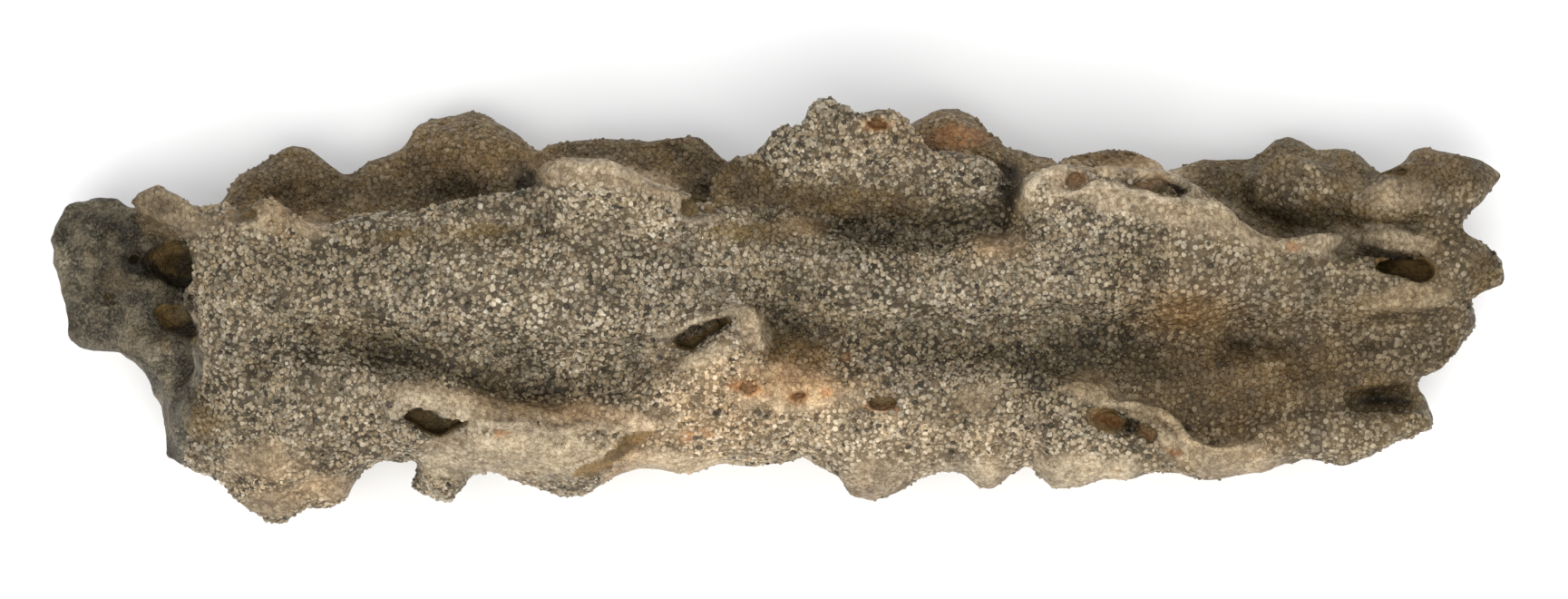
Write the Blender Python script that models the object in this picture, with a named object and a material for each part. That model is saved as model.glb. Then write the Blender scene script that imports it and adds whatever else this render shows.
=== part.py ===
"""A fulgurite: sand that lightning fused into one hollow, folded tube of glass, lying on its side.

Metres, +Z up, with the origin on the floor under the middle of the piece. Its long axis lies along X.
The end at -X is broken open: there the front wall is gone and the bare inside of the back wall shows.
Tables are in millimetres: x from the broken tip, y from the long axis and z from the floor.
"""

import math

import bmesh
import bpy
import numpy as np
from mathutils import Matrix, Vector

MM = 0.001
LENGTH = 80.0  # tip to tip
RING_STEP = 0.7  # how often a fold gets a ring of points along x
RING_SIDES = 20
FUSE_VOXEL = 0.42  # the folds are melted together at this scale
SOFT_VOXEL = 0.40  # and the edges of the hollows at this one
TRIANGLES = 9400  # what the finished solid may have
LUMP_SIZE = 2.6  # blisters and dents all over the melt
LUMP_HEIGHT = 1.3
THINNEST = 0.2  # no oval gets thinner than this
FLOOR_DEPTH = 6.0  # the slab that cuts the feet flat reaches this far down
SANDY_BROWN = (0.19, 0.15, 0.10, 1)
SANDY_ROUGHNESS = 0.75

# Each row is one station of a fold: x, then the two ends of its oval section as (y, z), then how
# thick the oval is. A fold runs smoothly through its stations.
BACK_WALL = {
    "glass end": (
        (-0.1, (2.4, 4.4), (4.7, 4.4), 1.4),
        (0.9, (0.2, 3.9), (5.7, 4.5), 2.8),
        (2.6, (-1.9, 3.7), (6.0, 4.6), 3.6),
        (4.4, (-2.9, 3.5), (6.0, 4.7), 3.8),
        (6.0, (-5.4, 3.5), (5.8, 4.9), 4.0),
        (7.6, (-7.8, 3.6), (5.6, 5.0), 4.4),
        (9.6, (-8.0, 3.8), (5.4, 5.2), 5.0),
        (12.5, (-6.0, 4.2), (5.0, 5.2), 5.0),
    ),
    "glass toe": (
        (0.7, (-1.6, 3.6), (-0.1, 4.0), 1.4),
        (1.6, (-2.0, 3.5), (0.6, 4.0), 2.6),
        (3.2, (-2.3, 3.5), (0.6, 4.2), 2.8),
        (4.8, (-2.8, 3.6), (0.2, 4.4), 2.2),
    ),
    "belly": (
        (7.5, (-5.0, 4.2), (3.0, 4.4), 3.0),
        (12.0, (-6.0, 4.0), (4.0, 4.2), 5.0),
        (22.0, (-6.0, 3.8), (4.5, 4.0), 5.4),
        (32.0, (-6.5, 3.8), (4.5, 4.0), 5.4),
        (44.0, (-6.0, 3.6), (5.0, 4.0), 5.2),
        (56.0, (-6.5, 3.8), (5.0, 4.2), 5.2),
        (66.0, (-6.0, 3.8), (4.5, 4.2), 5.0),
        (74.0, (-4.6, 4.0), (4.5, 4.4), 4.6),
        (78.6, (-0.4, 4.6), (3.6, 4.8), 3.0),
    ),
    "lobe a": (
        (9.1, (3.5, 4.4), (5.6, 4.6), 2.2),
        (10.1, (2.0, 4.2), (7.3, 4.2), 4.0),
        (11.6, (2.0, 4.0), (8.5, 3.8), 5.0),
        (13.5, (2.0, 3.8), (9.0, 3.6), 5.4),
        (15.3, (2.0, 4.0), (8.2, 3.8), 5.0),
        (16.8, (2.5, 4.2), (6.6, 4.2), 3.6),
    ),
    "shoulder a": (
        (15.2, (3.0, 4.0), (6.6, 4.2), 3.0),
        (16.8, (2.0, 3.9), (7.8, 4.0), 4.2),
        (18.4, (2.0, 3.8), (8.4, 4.0), 4.6),
        (20.4, (2.5, 4.0), (8.4, 4.2), 4.0),
    ),
    "lobe b": (
        (18.8, (4.0, 4.0), (8.6, 4.2), 3.0),
        (19.7, (3.0, 3.6), (10.0, 3.4), 4.6),
        (21.2, (2.5, 3.2), (10.6, 2.7), 5.8),
        (23.0, (2.5, 2.9), (10.8, 2.5), 6.2),
        (24.6, (2.5, 3.2), (10.4, 2.7), 5.8),
        (26.0, (3.0, 3.7), (9.3, 3.4), 5.0),
        (27.4, (3.4, 4.2), (7.8, 4.2), 3.2),
    ),
    "lobe c": (
        (26.0, (4.0, 4.8), (7.8, 5.0), 2.6),
        (28.0, (3.0, 4.6), (9.2, 4.6), 4.4),
        (30.2, (3.0, 4.4), (9.5, 4.4), 4.8),
        (32.4, (3.0, 4.4), (9.3, 4.4), 4.8),
        (34.4, (3.0, 4.6), (8.6, 4.8), 3.6),
    ),
    "lobe d": (
        (32.3, (4.0, 4.0), (9.0, 4.4), 3.4),
        (33.6, (3.0, 3.8), (9.8, 4.0), 4.8),
        (35.0, (3.0, 3.6), (9.9, 3.9), 5.2),
        (36.3, (3.0, 3.8), (9.1, 4.1), 4.8),
        (37.6, (3.0, 4.0), (7.9, 4.4), 4.0),
        (39.4, (3.0, 4.4), (6.5, 4.8), 2.8),
    ),
    "lobe e": (
        (46.2, (6.0, 4.6), (9.4, 4.6), 3.0),
        (47.5, (5.0, 4.2), (10.5, 4.4), 4.6),
        (49.2, (5.0, 3.9), (11.0, 4.1), 5.4),
        (50.7, (5.0, 3.9), (10.9, 4.1), 5.4),
        (52.0, (5.0, 4.1), (10.2, 4.3), 4.8),
        (53.3, (5.0, 4.5), (8.9, 4.7), 3.8),
        (55.0, (4.5, 4.6), (8.3, 4.8), 3.6),
        (56.4, (4.5, 4.8), (7.6, 5.0), 3.0),
    ),
    "lobe f": (
        (55.3, (4.0, 6.2), (8.0, 6.4), 3.0),
        (56.8, (4.0, 6.0), (8.8, 6.2), 4.4),
        (58.2, (4.0, 6.0), (9.4, 6.2), 5.0),
        (59.6, (4.0, 6.0), (8.8, 6.2), 4.4),
        (61.2, (4.0, 6.0), (8.0, 6.2), 3.4),
    ),
    "lobe g": (
        (59.8, (1.0, 4.2), (7.4, 4.6), 3.4),
        (61.8, (1.0, 3.9), (8.0, 4.2), 4.6),
        (64.4, (1.0, 3.3), (8.3, 3.6), 5.4),
        (66.2, (1.0, 3.0), (8.7, 3.2), 5.8),
        (67.8, (1.0, 2.9), (9.3, 3.1), 6.0),
        (69.2, (1.0, 3.1), (9.1, 3.4), 5.6),
        (70.0, (1.0, 3.5), (8.7, 3.8), 5.2),
        (71.3, (1.0, 3.7), (9.5, 4.1), 5.0),
        (72.6, (1.0, 4.0), (8.4, 4.5), 4.4),
        (74.2, (1.0, 4.2), (7.3, 4.8), 3.6),
    ),
    "keel": (
        (14.0, (-1.4, 2.6), (1.2, 2.6), 1.6),
        (22.0, (-0.4, 2.1), (2.2, 2.0), 2.4),
        (34.0, (-2.0, 2.2), (0.6, 2.0), 2.4),
        (46.0, (-0.2, 2.1), (2.4, 2.0), 2.4),
        (58.0, (-1.8, 2.3), (0.8, 2.2), 2.2),
        (68.0, (-0.6, 2.7), (1.8, 2.7), 1.6),
    ),
    "foot a": (
        (8.4, (-8.6, 3.2), (-5.6, 3.6), 2.8),
        (10.4, (-10.2, 2.6), (-3.6, 3.0), 4.8),
        (12.6, (-10.8, 2.2), (-3.0, 2.7), 5.8),
        (15.0, (-9.8, 2.6), (-3.0, 3.0), 5.0),
        (17.2, (-8.0, 3.5), (-3.0, 3.9), 3.6),
    ),
    "foot b": (
        (26.0, (-8.0, 4.4), (-5.0, 4.4), 2.6),
        (28.6, (-9.0, 3.6), (-4.0, 3.8), 4.8),
        (31.2, (-8.7, 3.4), (-4.0, 3.6), 5.0),
        (34.4, (-8.0, 4.0), (-4.0, 4.2), 3.6),
    ),
    "foot c": (
        (41.0, (-7.6, 4.2), (-4.0, 4.2), 3.0),
        (44.0, (-9.4, 3.4), (-4.0, 3.4), 5.0),
        (46.8, (-9.2, 3.4), (-4.0, 3.4), 5.0),
        (50.4, (-8.8, 3.8), (-4.0, 4.0), 4.0),
    ),
    "foot d": (
        (52.6, (-8.2, 4.0), (-4.0, 4.0), 3.4),
        (55.6, (-9.2, 2.7), (-4.0, 2.9), 5.2),
        (58.6, (-8.8, 2.2), (-4.0, 2.5), 5.8),
        (61.8, (-8.2, 2.8), (-4.0, 3.2), 4.8),
        (65.0, (-8.2, 4.0), (-4.0, 4.2), 3.4),
    ),
}
FRONT_WALL = {
    "body": (
        (8.0, (-6.4, 7.2), (5.0, 7.8), 3.4),
        (8.8, (-5.6, 7.4), (5.3, 8.0), 5.4),
        (11.0, (-2.8, 7.6), (5.2, 8.2), 7.0),
        (14.0, (-1.6, 7.6), (5.0, 8.2), 7.8),
        (18.0, (-1.6, 7.6), (4.9, 8.2), 8.0),
        (22.0, (-1.9, 7.5), (5.2, 8.4), 8.2),
        (26.0, (-2.8, 7.4), (5.4, 8.6), 8.0),
        (30.0, (-3.2, 7.4), (5.4, 8.6), 7.8),
        (34.0, (-2.0, 7.4), (5.0, 8.4), 7.6),
        (38.0, (-0.4, 7.2), (4.4, 8.0), 7.2),
        (42.0, (-0.4, 7.0), (4.2, 7.8), 7.0),
        (47.0, (-0.7, 7.0), (4.0, 7.8), 6.8),
        (52.0, (-0.7, 7.0), (4.2, 7.6), 6.6),
        (58.0, (-0.6, 6.8), (4.4, 7.4), 6.2),
        (65.0, (-0.6, 6.6), (3.6, 7.2), 5.4),
        (73.0, (-0.6, 6.4), (3.2, 7.0), 4.8),
        (78.6, (0.2, 6.2), (2.6, 6.4), 2.4),
    ),
    "corner flake": (
        (4.2, (5.3, 6.4), (6.4, 6.6), 1.1),
        (5.5, (4.9, 7.2), (6.8, 6.8), 1.8),
        (7.0, (4.2, 8.0), (6.5, 7.0), 2.2),
        (8.2, (3.4, 8.6), (5.7, 7.4), 2.4),
        (10.0, (3.0, 9.0), (5.5, 8.0), 2.2),
    ),
    "valley web": (
        (8.4, (-6.6, 6.2), (2.0, 7.0), 3.4),
        (11.0, (-6.4, 6.6), (2.0, 7.2), 4.8),
        (20.0, (-7.0, 6.4), (2.0, 7.2), 5.2),
        (30.0, (-7.4, 6.4), (2.0, 7.2), 5.2),
        (40.0, (-6.6, 6.4), (2.0, 7.0), 5.2),
        (50.0, (-6.8, 6.2), (2.0, 6.8), 4.8),
        (54.0, (-6.4, 6.2), (1.6, 6.6), 4.0),
        (57.0, (-6.0, 6.2), (1.0, 6.4), 2.6),
    ),
    "left crest": (
        (8.6, (3.4, 8.8), (5.4, 9.4), 1.8),
        (10.6, (3.0, 9.4), (5.4, 10.0), 2.0),
        (12.2, (3.0, 9.6), (6.0, 10.6), 2.0),
        (13.4, (3.0, 9.6), (5.0, 10.2), 2.0),
        (17.0, (3.0, 9.8), (5.1, 10.4), 2.2),
        (20.0, (3.2, 10.0), (5.6, 10.8), 2.2),
        (23.0, (3.4, 10.0), (6.0, 11.0), 2.2),
        (26.4, (3.8, 10.0), (6.5, 11.0), 2.2),
    ),
    "high crest": (
        (26.3, (4.2, 9.2), (7.0, 10.6), 2.0),
        (27.6, (4.2, 9.4), (8.2, 11.6), 2.6),
        (29.5, (4.0, 9.4), (8.1, 12.0), 2.8),
        (31.5, (3.8, 9.4), (7.8, 12.0), 2.8),
        (33.4, (3.6, 9.2), (7.0, 11.4), 2.6),
        (35.2, (3.4, 8.8), (5.9, 10.6), 2.4),
        (37.2, (3.2, 8.4), (4.8, 9.6), 2.0),
    ),
    "upper slope": (
        (36.2, (4.2, 7.6), (7.4, 8.6), 1.8),
        (37.6, (4.2, 7.8), (8.5, 9.4), 2.4),
        (39.1, (4.4, 8.0), (9.2, 10.0), 2.4),
        (40.1, (4.4, 8.0), (10.7, 10.6), 2.6),
        (41.3, (4.4, 8.0), (9.6, 10.4), 2.4),
        (42.6, (4.4, 8.0), (10.6, 10.8), 2.6),
        (44.4, (4.4, 8.0), (10.9, 11.0), 2.8),
        (46.2, (4.4, 8.0), (10.3, 10.8), 2.8),
        (48.2, (4.4, 8.0), (9.2, 10.4), 2.8),
        (50.2, (4.4, 7.8), (8.5, 10.0), 2.8),
        (51.9, (4.4, 7.4), (7.9, 9.4), 2.6),
        (53.0, (4.4, 7.0), (7.0, 8.4), 2.0),
    ),
    "middle ridge": (
        (36.0, (2.0, 9.4), (4.4, 9.4), 2.2),
        (39.0, (1.8, 9.7), (4.6, 9.6), 3.0),
        (43.0, (1.2, 9.6), (4.0, 9.6), 3.0),
        (47.0, (1.0, 9.3), (3.4, 9.4), 2.8),
        (51.0, (0.8, 9.0), (3.2, 9.2), 2.4),
    ),
    "torn tip": (
        (41.6, (9.4, 10.6), (11.3, 11.0), 1.3),
        (42.2, (9.0, 10.5), (11.9, 11.0), 1.8),
        (43.6, (9.0, 10.6), (11.5, 11.1), 1.8),
        (45.2, (9.0, 10.4), (11.4, 11.0), 1.8),
        (46.6, (9.0, 10.2), (10.8, 10.7), 1.4),
        (47.6, (9.0, 9.8), (10.3, 10.3), 0.9),
    ),
    "nose": (
        (36.4, (-2.6, 9.6), (-1.2, 10.4), 1.6),
        (37.8, (-2.8, 10.0), (-0.4, 11.2), 2.2),
        (38.8, (-2.8, 10.0), (-0.5, 11.0), 2.2),
        (39.8, (-3.0, 9.6), (-1.6, 10.0), 1.6),
    ),
    "knob": (
        (50.2, (2.4, 9.2), (3.8, 9.4), 1.8),
        (51.8, (2.2, 9.6), (4.4, 9.8), 2.8),
        (53.2, (2.2, 9.6), (4.3, 9.8), 2.8),
        (54.6, (2.0, 9.4), (3.6, 9.6), 2.0),
    ),
    "right crest": (
        (53.0, (2.6, 8.8), (6.2, 10.2), 2.0),
        (53.8, (1.4, 9.0), (7.4, 11.0), 3.4),
        (55.4, (0.2, 9.0), (8.0, 11.2), 4.2),
        (58.4, (0.2, 9.0), (7.8, 11.0), 4.4),
        (61.2, (0.2, 8.8), (7.6, 10.8), 4.4),
        (63.2, (0.2, 8.6), (6.8, 10.4), 4.2),
        (65.0, (0.2, 8.4), (5.4, 9.8), 4.0),
        (66.8, (0.2, 8.2), (4.2, 9.2), 3.6),
        (69.0, (0.2, 8.0), (4.4, 8.6), 3.4),
        (71.0, (0.0, 7.8), (3.4, 8.2), 3.2),
        (74.0, (0.0, 7.6), (3.4, 8.0), 3.4),
        (77.0, (0.2, 7.2), (4.0, 7.6), 3.2),
        (79.2, (0.9, 6.6), (4.0, 7.0), 2.8),
        (80.4, (1.7, 6.4), (2.8, 6.6), 1.2),
    ),
    "grey lump": (
        (66.2, (5.6, 6.0), (7.6, 6.0), 2.4),
        (68.0, (5.2, 6.3), (8.6, 6.2), 3.2),
        (70.0, (5.2, 6.3), (8.2, 6.2), 3.2),
        (71.6, (5.6, 6.0), (7.4, 6.0), 2.2),
    ),
    "end lump": (
        (71.4, (5.0, 6.8), (6.6, 6.8), 1.8),
        (73.0, (4.6, 7.0), (7.2, 7.0), 3.2),
        (74.7, (4.4, 7.0), (8.5, 6.6), 4.2),
        (76.4, (4.4, 6.8), (8.8, 6.2), 4.4),
        (78.0, (4.8, 6.4), (8.6, 5.8), 4.0),
        (79.3, (6.3, 6.0), (8.2, 5.6), 2.6),
        (80.5, (7.2, 5.6), (7.9, 5.5), 1.1),
    ),
    "left skirt": (
        (6.1, (-8.2, 4.6), (-5.2, 6.0), 2.2),
        (8.0, (-8.9, 4.8), (-3.6, 8.2), 3.2),
        (10.0, (-9.9, 4.8), (-3.0, 9.4), 4.2),
        (11.9, (-11.6, 4.4), (-2.7, 9.9), 4.4),
        (14.0, (-10.6, 4.6), (-2.6, 10.1), 4.4),
        (16.2, (-10.2, 4.6), (-2.8, 10.1), 4.2),
        (17.2, (-8.8, 5.0), (-3.0, 10.0), 3.6),
        (19.4, (-7.7, 5.6), (-3.4, 9.4), 3.0),
    ),
    "lower fold left": (
        (17.0, (-7.7, 6.0), (-3.4, 9.6), 2.8),
        (19.0, (-8.1, 5.6), (-3.5, 10.3), 3.2),
        (21.5, (-8.4, 5.4), (-4.0, 10.5), 3.4),
        (24.0, (-8.6, 5.2), (-4.6, 10.5), 3.4),
        (26.4, (-9.1, 5.0), (-5.2, 10.3), 3.6),
        (29.4, (-9.4, 4.8), (-5.6, 10.1), 3.6),
        (31.3, (-8.9, 5.0), (-5.2, 10.1), 3.6),
        (33.0, (-8.2, 5.4), (-4.4, 9.8), 3.4),
    ),
    "drip": (
        (19.8, (-9.8, 4.8), (-8.0, 5.2), 1.4),
        (21.0, (-10.7, 4.4), (-7.0, 5.6), 2.6),
        (22.2, (-10.1, 4.6), (-7.0, 5.6), 2.4),
        (23.2, (-8.8, 5.0), (-7.4, 5.6), 1.4),
    ),
    "lower fold": (
        (32.4, (-8.1, 5.6), (-4.0, 9.4), 3.6),
        (34.4, (-8.5, 5.2), (-2.8, 10.2), 4.2),
        (36.8, (-8.6, 5.0), (-2.0, 10.8), 4.4),
        (38.4, (-8.4, 5.0), (-2.0, 10.8), 4.2),
        (40.3, (-7.7, 5.2), (-2.8, 10.2), 3.8),
        (42.6, (-8.2, 5.0), (-3.1, 10.2), 3.8),
        (44.4, (-10.1, 4.6), (-3.2, 10.2), 3.8),
        (45.8, (-10.3, 4.6), (-3.2, 10.2), 3.8),
        (48.2, (-8.4, 5.0), (-3.3, 10.0), 3.6),
        (50.6, (-9.4, 4.8), (-3.4, 9.8), 3.6),
        (52.2, (-9.7, 4.8), (-3.4, 9.8), 3.6),
        (53.8, (-7.8, 5.2), (-3.6, 9.6), 3.4),
        (55.2, (-9.2, 5.0), (-3.9, 9.6), 3.4),
        (56.6, (-9.6, 4.8), (-4.4, 9.6), 3.4),
        (58.4, (-9.1, 4.8), (-5.2, 9.4), 3.2),
    ),
    "lower rim": (
        (56.4, (-9.4, 5.2), (-5.2, 8.9), 3.0),
        (58.6, (-9.0, 5.2), (-5.8, 9.0), 2.8),
        (61.4, (-8.2, 5.6), (-6.8, 8.8), 2.6),
        (63.8, (-8.9, 5.2), (-7.5, 8.6), 2.4),
        (66.4, (-8.0, 5.2), (-7.0, 8.4), 2.4),
        (69.0, (-7.6, 5.0), (-6.4, 8.0), 2.4),
        (72.4, (-7.8, 4.8), (-5.8, 7.4), 2.6),
        (74.2, (-6.8, 4.8), (-5.4, 6.8), 2.2),
        (76.3, (-6.5, 4.8), (-5.4, 6.2), 1.6),
    ),
    "end web": (
        (70.0, (-6.4, 4.4), (-3.0, 4.6), 2.4),
        (73.0, (-6.6, 4.2), (-3.0, 4.4), 2.6),
        (75.2, (-6.6, 4.2), (-3.6, 4.4), 2.4),
        (76.4, (-6.4, 4.4), (-4.8, 4.4), 1.4),
    ),
    "hollow floor": (
        (54.0, (-5.0, 7.2), (-0.5, 6.2), 3.0),
        (58.0, (-6.4, 7.0), (-0.6, 5.6), 3.2),
        (62.0, (-7.4, 6.6), (-0.6, 5.2), 3.2),
        (68.0, (-7.4, 6.2), (-0.4, 5.0), 3.2),
        (72.4, (-6.8, 5.8), (-0.2, 5.0), 3.2),
        (74.6, (-4.6, 5.4), (0.0, 5.2), 3.0),
        (76.8, (-3.2, 5.2), (0.6, 5.8), 2.6),
        (78.2, (-0.8, 5.4), (1.6, 6.2), 2.2),
    ),
}

# What the escaping gas left hollow, cut out of the fused folds in the same kind of stations.
HOLLOWS = {
    "bore": (
        (5.5, (-1.6, 6.4), (3.6, 6.6), 1.6),
        (7.5, (-1.6, 5.8), (3.8, 6.2), 3.0),
        (12.0, (-1.4, 5.6), (3.6, 6.2), 3.6),
        (20.0, (-1.6, 5.4), (3.4, 6.2), 3.8),
        (30.0, (-2.2, 5.4), (3.2, 6.4), 3.8),
        (40.0, (-1.0, 5.4), (3.4, 6.0), 3.6),
        (50.0, (-1.0, 5.2), (3.2, 5.8), 3.4),
        (58.0, (-0.4, 5.2), (3.4, 6.0), 3.4),
        (68.0, (-0.2, 5.2), (3.2, 5.8), 3.2),
        (81.0, (0.2, 5.2), (2.8, 5.6), 2.6),
    ),
    "glass pit": (
        (4.8, (2.2, 6.4), (3.2, 6.8), 1.0),
        (6.2, (1.6, 4.2), (3.6, 6.6), 2.2),
        (7.4, (1.4, 3.8), (3.6, 6.8), 2.6),
        (9.4, (1.6, 5.0), (3.0, 6.4), 1.4),
    ),
    "glass dimple": (
        (5.2, (-0.4, 6.0), (0.2, 6.6), 0.8),
        (6.4, (-0.9, 4.6), (0.2, 6.8), 1.5),
        (8.0, (-0.8, 5.0), (0.2, 6.8), 1.5),
    ),
    "left mouth": (
        (19.2, (-5.4, 8.8), (-6.0, 11.6), 0.6),
        (20.4, (-5.2, 7.9), (-6.0, 12.4), 1.5),
        (21.8, (-5.4, 7.9), (-6.2, 12.4), 1.5),
        (23.4, (-6.0, 8.8), (-6.4, 11.6), 0.5),
    ),
    "long slit": (
        (33.9, (-2.2, 8.2), (-2.4, 12.5), 0.5),
        (35.0, (-1.5, 7.4), (-1.8, 14.0), 1.1),
        (36.4, (-0.8, 7.4), (-1.0, 14.0), 1.1),
        (37.8, (-0.2, 8.2), (-0.3, 14.0), 0.5),
    ),
    "right mouth": (
        (56.8, (-5.4, 6.4), (-5.6, 11.0), 0.5),
        (58.0, (-5.8, 5.6), (-6.1, 12.0), 1.2),
        (59.4, (-6.2, 5.6), (-6.5, 12.0), 1.0),
        (61.2, (-6.7, 6.4), (-7.0, 11.0), 0.5),
    ),
    "crest hollow": (
        (58.8, (6.6, 8.2), (7.0, 12.0), 0.5),
        (60.0, (6.6, 7.4), (7.2, 12.5), 1.2),
        (61.6, (6.2, 7.4), (6.8, 12.5), 1.1),
        (62.8, (5.8, 8.2), (6.2, 12.0), 0.5),
    ),
    "end slot": (
        (72.6, (2.4, 7.0), (2.4, 9.6), 0.6),
        (74.2, (2.4, 5.6), (2.4, 10.4), 1.2),
        (75.8, (2.2, 5.6), (2.2, 10.4), 1.2),
        (77.0, (2.2, 6.8), (2.2, 9.6), 0.6),
    ),
    "end notch": (
        (71.4, (-4.9, 6.4), (-4.9, 7.6), 0.7),
        (73.0, (-4.8, 5.2), (-4.8, 8.4), 1.6),
        (75.0, (-4.7, 5.2), (-4.7, 8.4), 1.6),
        (77.0, (-4.5, 5.4), (-4.5, 8.4), 1.6),
    ),
}


def through(stations):
    """The same stations with more between them, every RING_STEP, on a smooth curve through them all."""
    rows = np.array([(x, *low, *high, thick) for x, low, high, thick in stations])
    xs = rows[:, 0]
    slopes = np.gradient(rows, xs, axis=0)
    count = round((xs[-1] - xs[0]) / RING_STEP)
    for x in np.linspace(xs[0], xs[-1], count + 1):
        at = min(np.searchsorted(xs, x, side="right") - 1, len(xs) - 2)
        span = xs[at + 1] - xs[at]
        s = (x - xs[at]) / span
        yield (
            (1 + 2 * s) * (1 - s) ** 2 * rows[at]
            + s * (1 - s) ** 2 * span * slopes[at]
            + s * s * (3 - 2 * s) * rows[at + 1]
            + s * s * (s - 1) * span * slopes[at + 1]
        )


def section(row):
    """The matrix that turns a unit circle into the oval of one station."""
    x, low_y, low_z, high_y, high_z, thick = row
    wide = math.dist((low_y, low_z), (high_y, high_z)) / 2
    lean = math.atan2(high_z - low_z, high_y - low_y)
    deep = max(thick, THINNEST) / 2
    along = Vector((0, math.cos(lean), math.sin(lean))) * wide
    across = Vector((0, -math.sin(lean), math.cos(lean))) * deep
    middle = Vector((x - LENGTH / 2, (low_y + high_y) / 2, (low_z + high_z) / 2))
    oval = Matrix((along, across, (1, 0, 0))).transposed()
    return Matrix.Translation(middle * MM) @ (oval * MM).to_4x4()


def add_fold(bm, stations):
    """One closed tube that swells and leans smoothly through its stations."""
    rows = list(through(stations))
    last_ring = []
    for row in rows:
        capped = row is rows[0] or row is rows[-1]
        place = section(row)
        circle = bmesh.ops.create_circle(bm, cap_ends=capped, segments=RING_SIDES, radius=1, matrix=place)
        ring = list({edge for vert in circle["verts"] for edge in vert.link_edges})
        if last_ring:
            bmesh.ops.bridge_loops(bm, edges=last_ring + ring)
        last_ring = ring


def object_of(name, bm):
    mesh = bpy.data.meshes.new(name)
    bm.to_mesh(mesh)
    bm.free()
    made = bpy.data.objects.new(name, mesh)
    bpy.context.collection.objects.link(made)
    return made


def folds_object(name, folds):
    bm = bmesh.new()
    for stations in folds.values():
        add_fold(bm, stations)
    bmesh.ops.recalc_face_normals(bm, faces=bm.faces)
    return object_of(name, bm)


def floor_cutter():
    """A slab whose top is the floor."""
    bm = bmesh.new()
    size = Matrix.Diagonal((2 * LENGTH * MM, LENGTH * MM, FLOOR_DEPTH * MM, 1))
    bmesh.ops.create_cube(bm, size=1, matrix=Matrix.Translation((0, 0, -FLOOR_DEPTH / 2 * MM)) @ size)
    return object_of("floor", bm)


def cut(piece, cutter):
    """Takes the cutter's shape out of the piece."""
    cutter.hide_render = True
    cutter.display_type = "WIRE"
    modifier = piece.modifiers.new(f"cut {cutter.name}", "BOOLEAN")
    modifier.operation = "DIFFERENCE"
    modifier.object = cutter


def fuse(piece, voxel):
    """Melts overlapping shapes into one skin."""
    modifier = piece.modifiers.new("fuse", "REMESH")
    modifier.mode = "VOXEL"
    modifier.voxel_size = voxel * MM
    modifier.adaptivity = 0


def soften(piece, times):
    modifier = piece.modifiers.new("soften", "SMOOTH")
    modifier.iterations = times


def lump(piece):
    """Blisters and dents all over."""
    clouds = bpy.data.textures.new("melt", "CLOUDS")
    clouds.noise_scale = LUMP_SIZE * MM
    clouds.noise_depth = 1
    modifier = piece.modifiers.new("lumps", "DISPLACE")
    modifier.texture = clouds
    modifier.texture_coords = "LOCAL"
    modifier.strength = LUMP_HEIGHT * MM
    modifier.mid_level = 0.5


def thin_out(piece):
    """Brings the fused skin down to about TRIANGLES triangles."""
    bpy.context.view_layer.update()
    fine = piece.evaluated_get(bpy.context.evaluated_depsgraph_get())
    quads = len(fine.data.polygons)
    modifier = piece.modifiers.new("thin out", "DECIMATE")
    modifier.ratio = TRIANGLES / (2 * quads)


def sandy_glass():
    material = bpy.data.materials.new("sandy glass")
    material.use_nodes = True
    shader = material.node_tree.nodes["Principled BSDF"]
    shader.inputs["Base Color"].default_value = SANDY_BROWN
    shader.inputs["Roughness"].default_value = SANDY_ROUGHNESS
    shader.inputs["Metallic"].default_value = 0
    return material


def fulgurite():
    piece = folds_object("fulgurite", BACK_WALL | FRONT_WALL)
    fuse(piece, FUSE_VOXEL)
    soften(piece, 3)
    lump(piece)
    for name, stations in HOLLOWS.items():
        cut(piece, folds_object(name, {name: stations}))
    fuse(piece, SOFT_VOXEL)
    soften(piece, 2)
    thin_out(piece)
    cut(piece, floor_cutter())
    piece.data.materials.append(sandy_glass())


for old in list(bpy.data.objects):
    bpy.data.objects.remove(old)
fulgurite()
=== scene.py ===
"""The looks of a fulgurite: sand that lightning fused into one hollow, folded tube of glass.

It lies on its side. Tables are in millimetres: x from the broken tip, y from the long axis and z from
the floor.
"""

import math

import bmesh
import bpy
import numpy as np
from mathutils import Matrix, Vector, noise
from mathutils.bvhtree import BVHTree


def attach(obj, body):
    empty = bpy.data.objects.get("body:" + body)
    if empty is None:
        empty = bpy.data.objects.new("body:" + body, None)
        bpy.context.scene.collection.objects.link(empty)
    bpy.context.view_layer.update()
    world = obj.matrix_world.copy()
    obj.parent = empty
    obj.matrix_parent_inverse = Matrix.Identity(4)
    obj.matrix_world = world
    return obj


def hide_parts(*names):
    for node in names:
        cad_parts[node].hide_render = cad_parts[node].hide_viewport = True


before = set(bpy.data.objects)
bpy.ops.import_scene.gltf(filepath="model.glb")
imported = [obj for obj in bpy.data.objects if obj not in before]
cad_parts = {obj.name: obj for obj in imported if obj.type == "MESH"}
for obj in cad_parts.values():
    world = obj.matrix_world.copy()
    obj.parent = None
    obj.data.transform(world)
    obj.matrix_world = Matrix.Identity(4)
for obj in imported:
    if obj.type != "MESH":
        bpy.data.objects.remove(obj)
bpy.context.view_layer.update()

# The fused glass: the whole tube with its wings, lobes and hollows, melted in one flash and never
# touched since. Its edges broke where the melt was thin, so they are ragged and pale.
MM = 0.001
LENGTH = 80.0
NODE = "fulgurite"
BODY = "root"
VOXEL = 0.17
GLASS_TRIANGLES = 190000
THINNEST_WALL = 0.8
MERGED = 0.001
OVER_ALL = 40.0
UNDER_ALL = -5.0
USUAL_TOP = 5.0
CUTTER_RISE = 3.0
PERCH_REACH = 0.45
PERCH_STEP = 0.8
STEEPEST = 0.9


def place(x, y, z):
    """A spot of the tables, in metres from the middle of the piece."""
    return Vector((x - LENGTH / 2, y, z)) * MM


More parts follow.
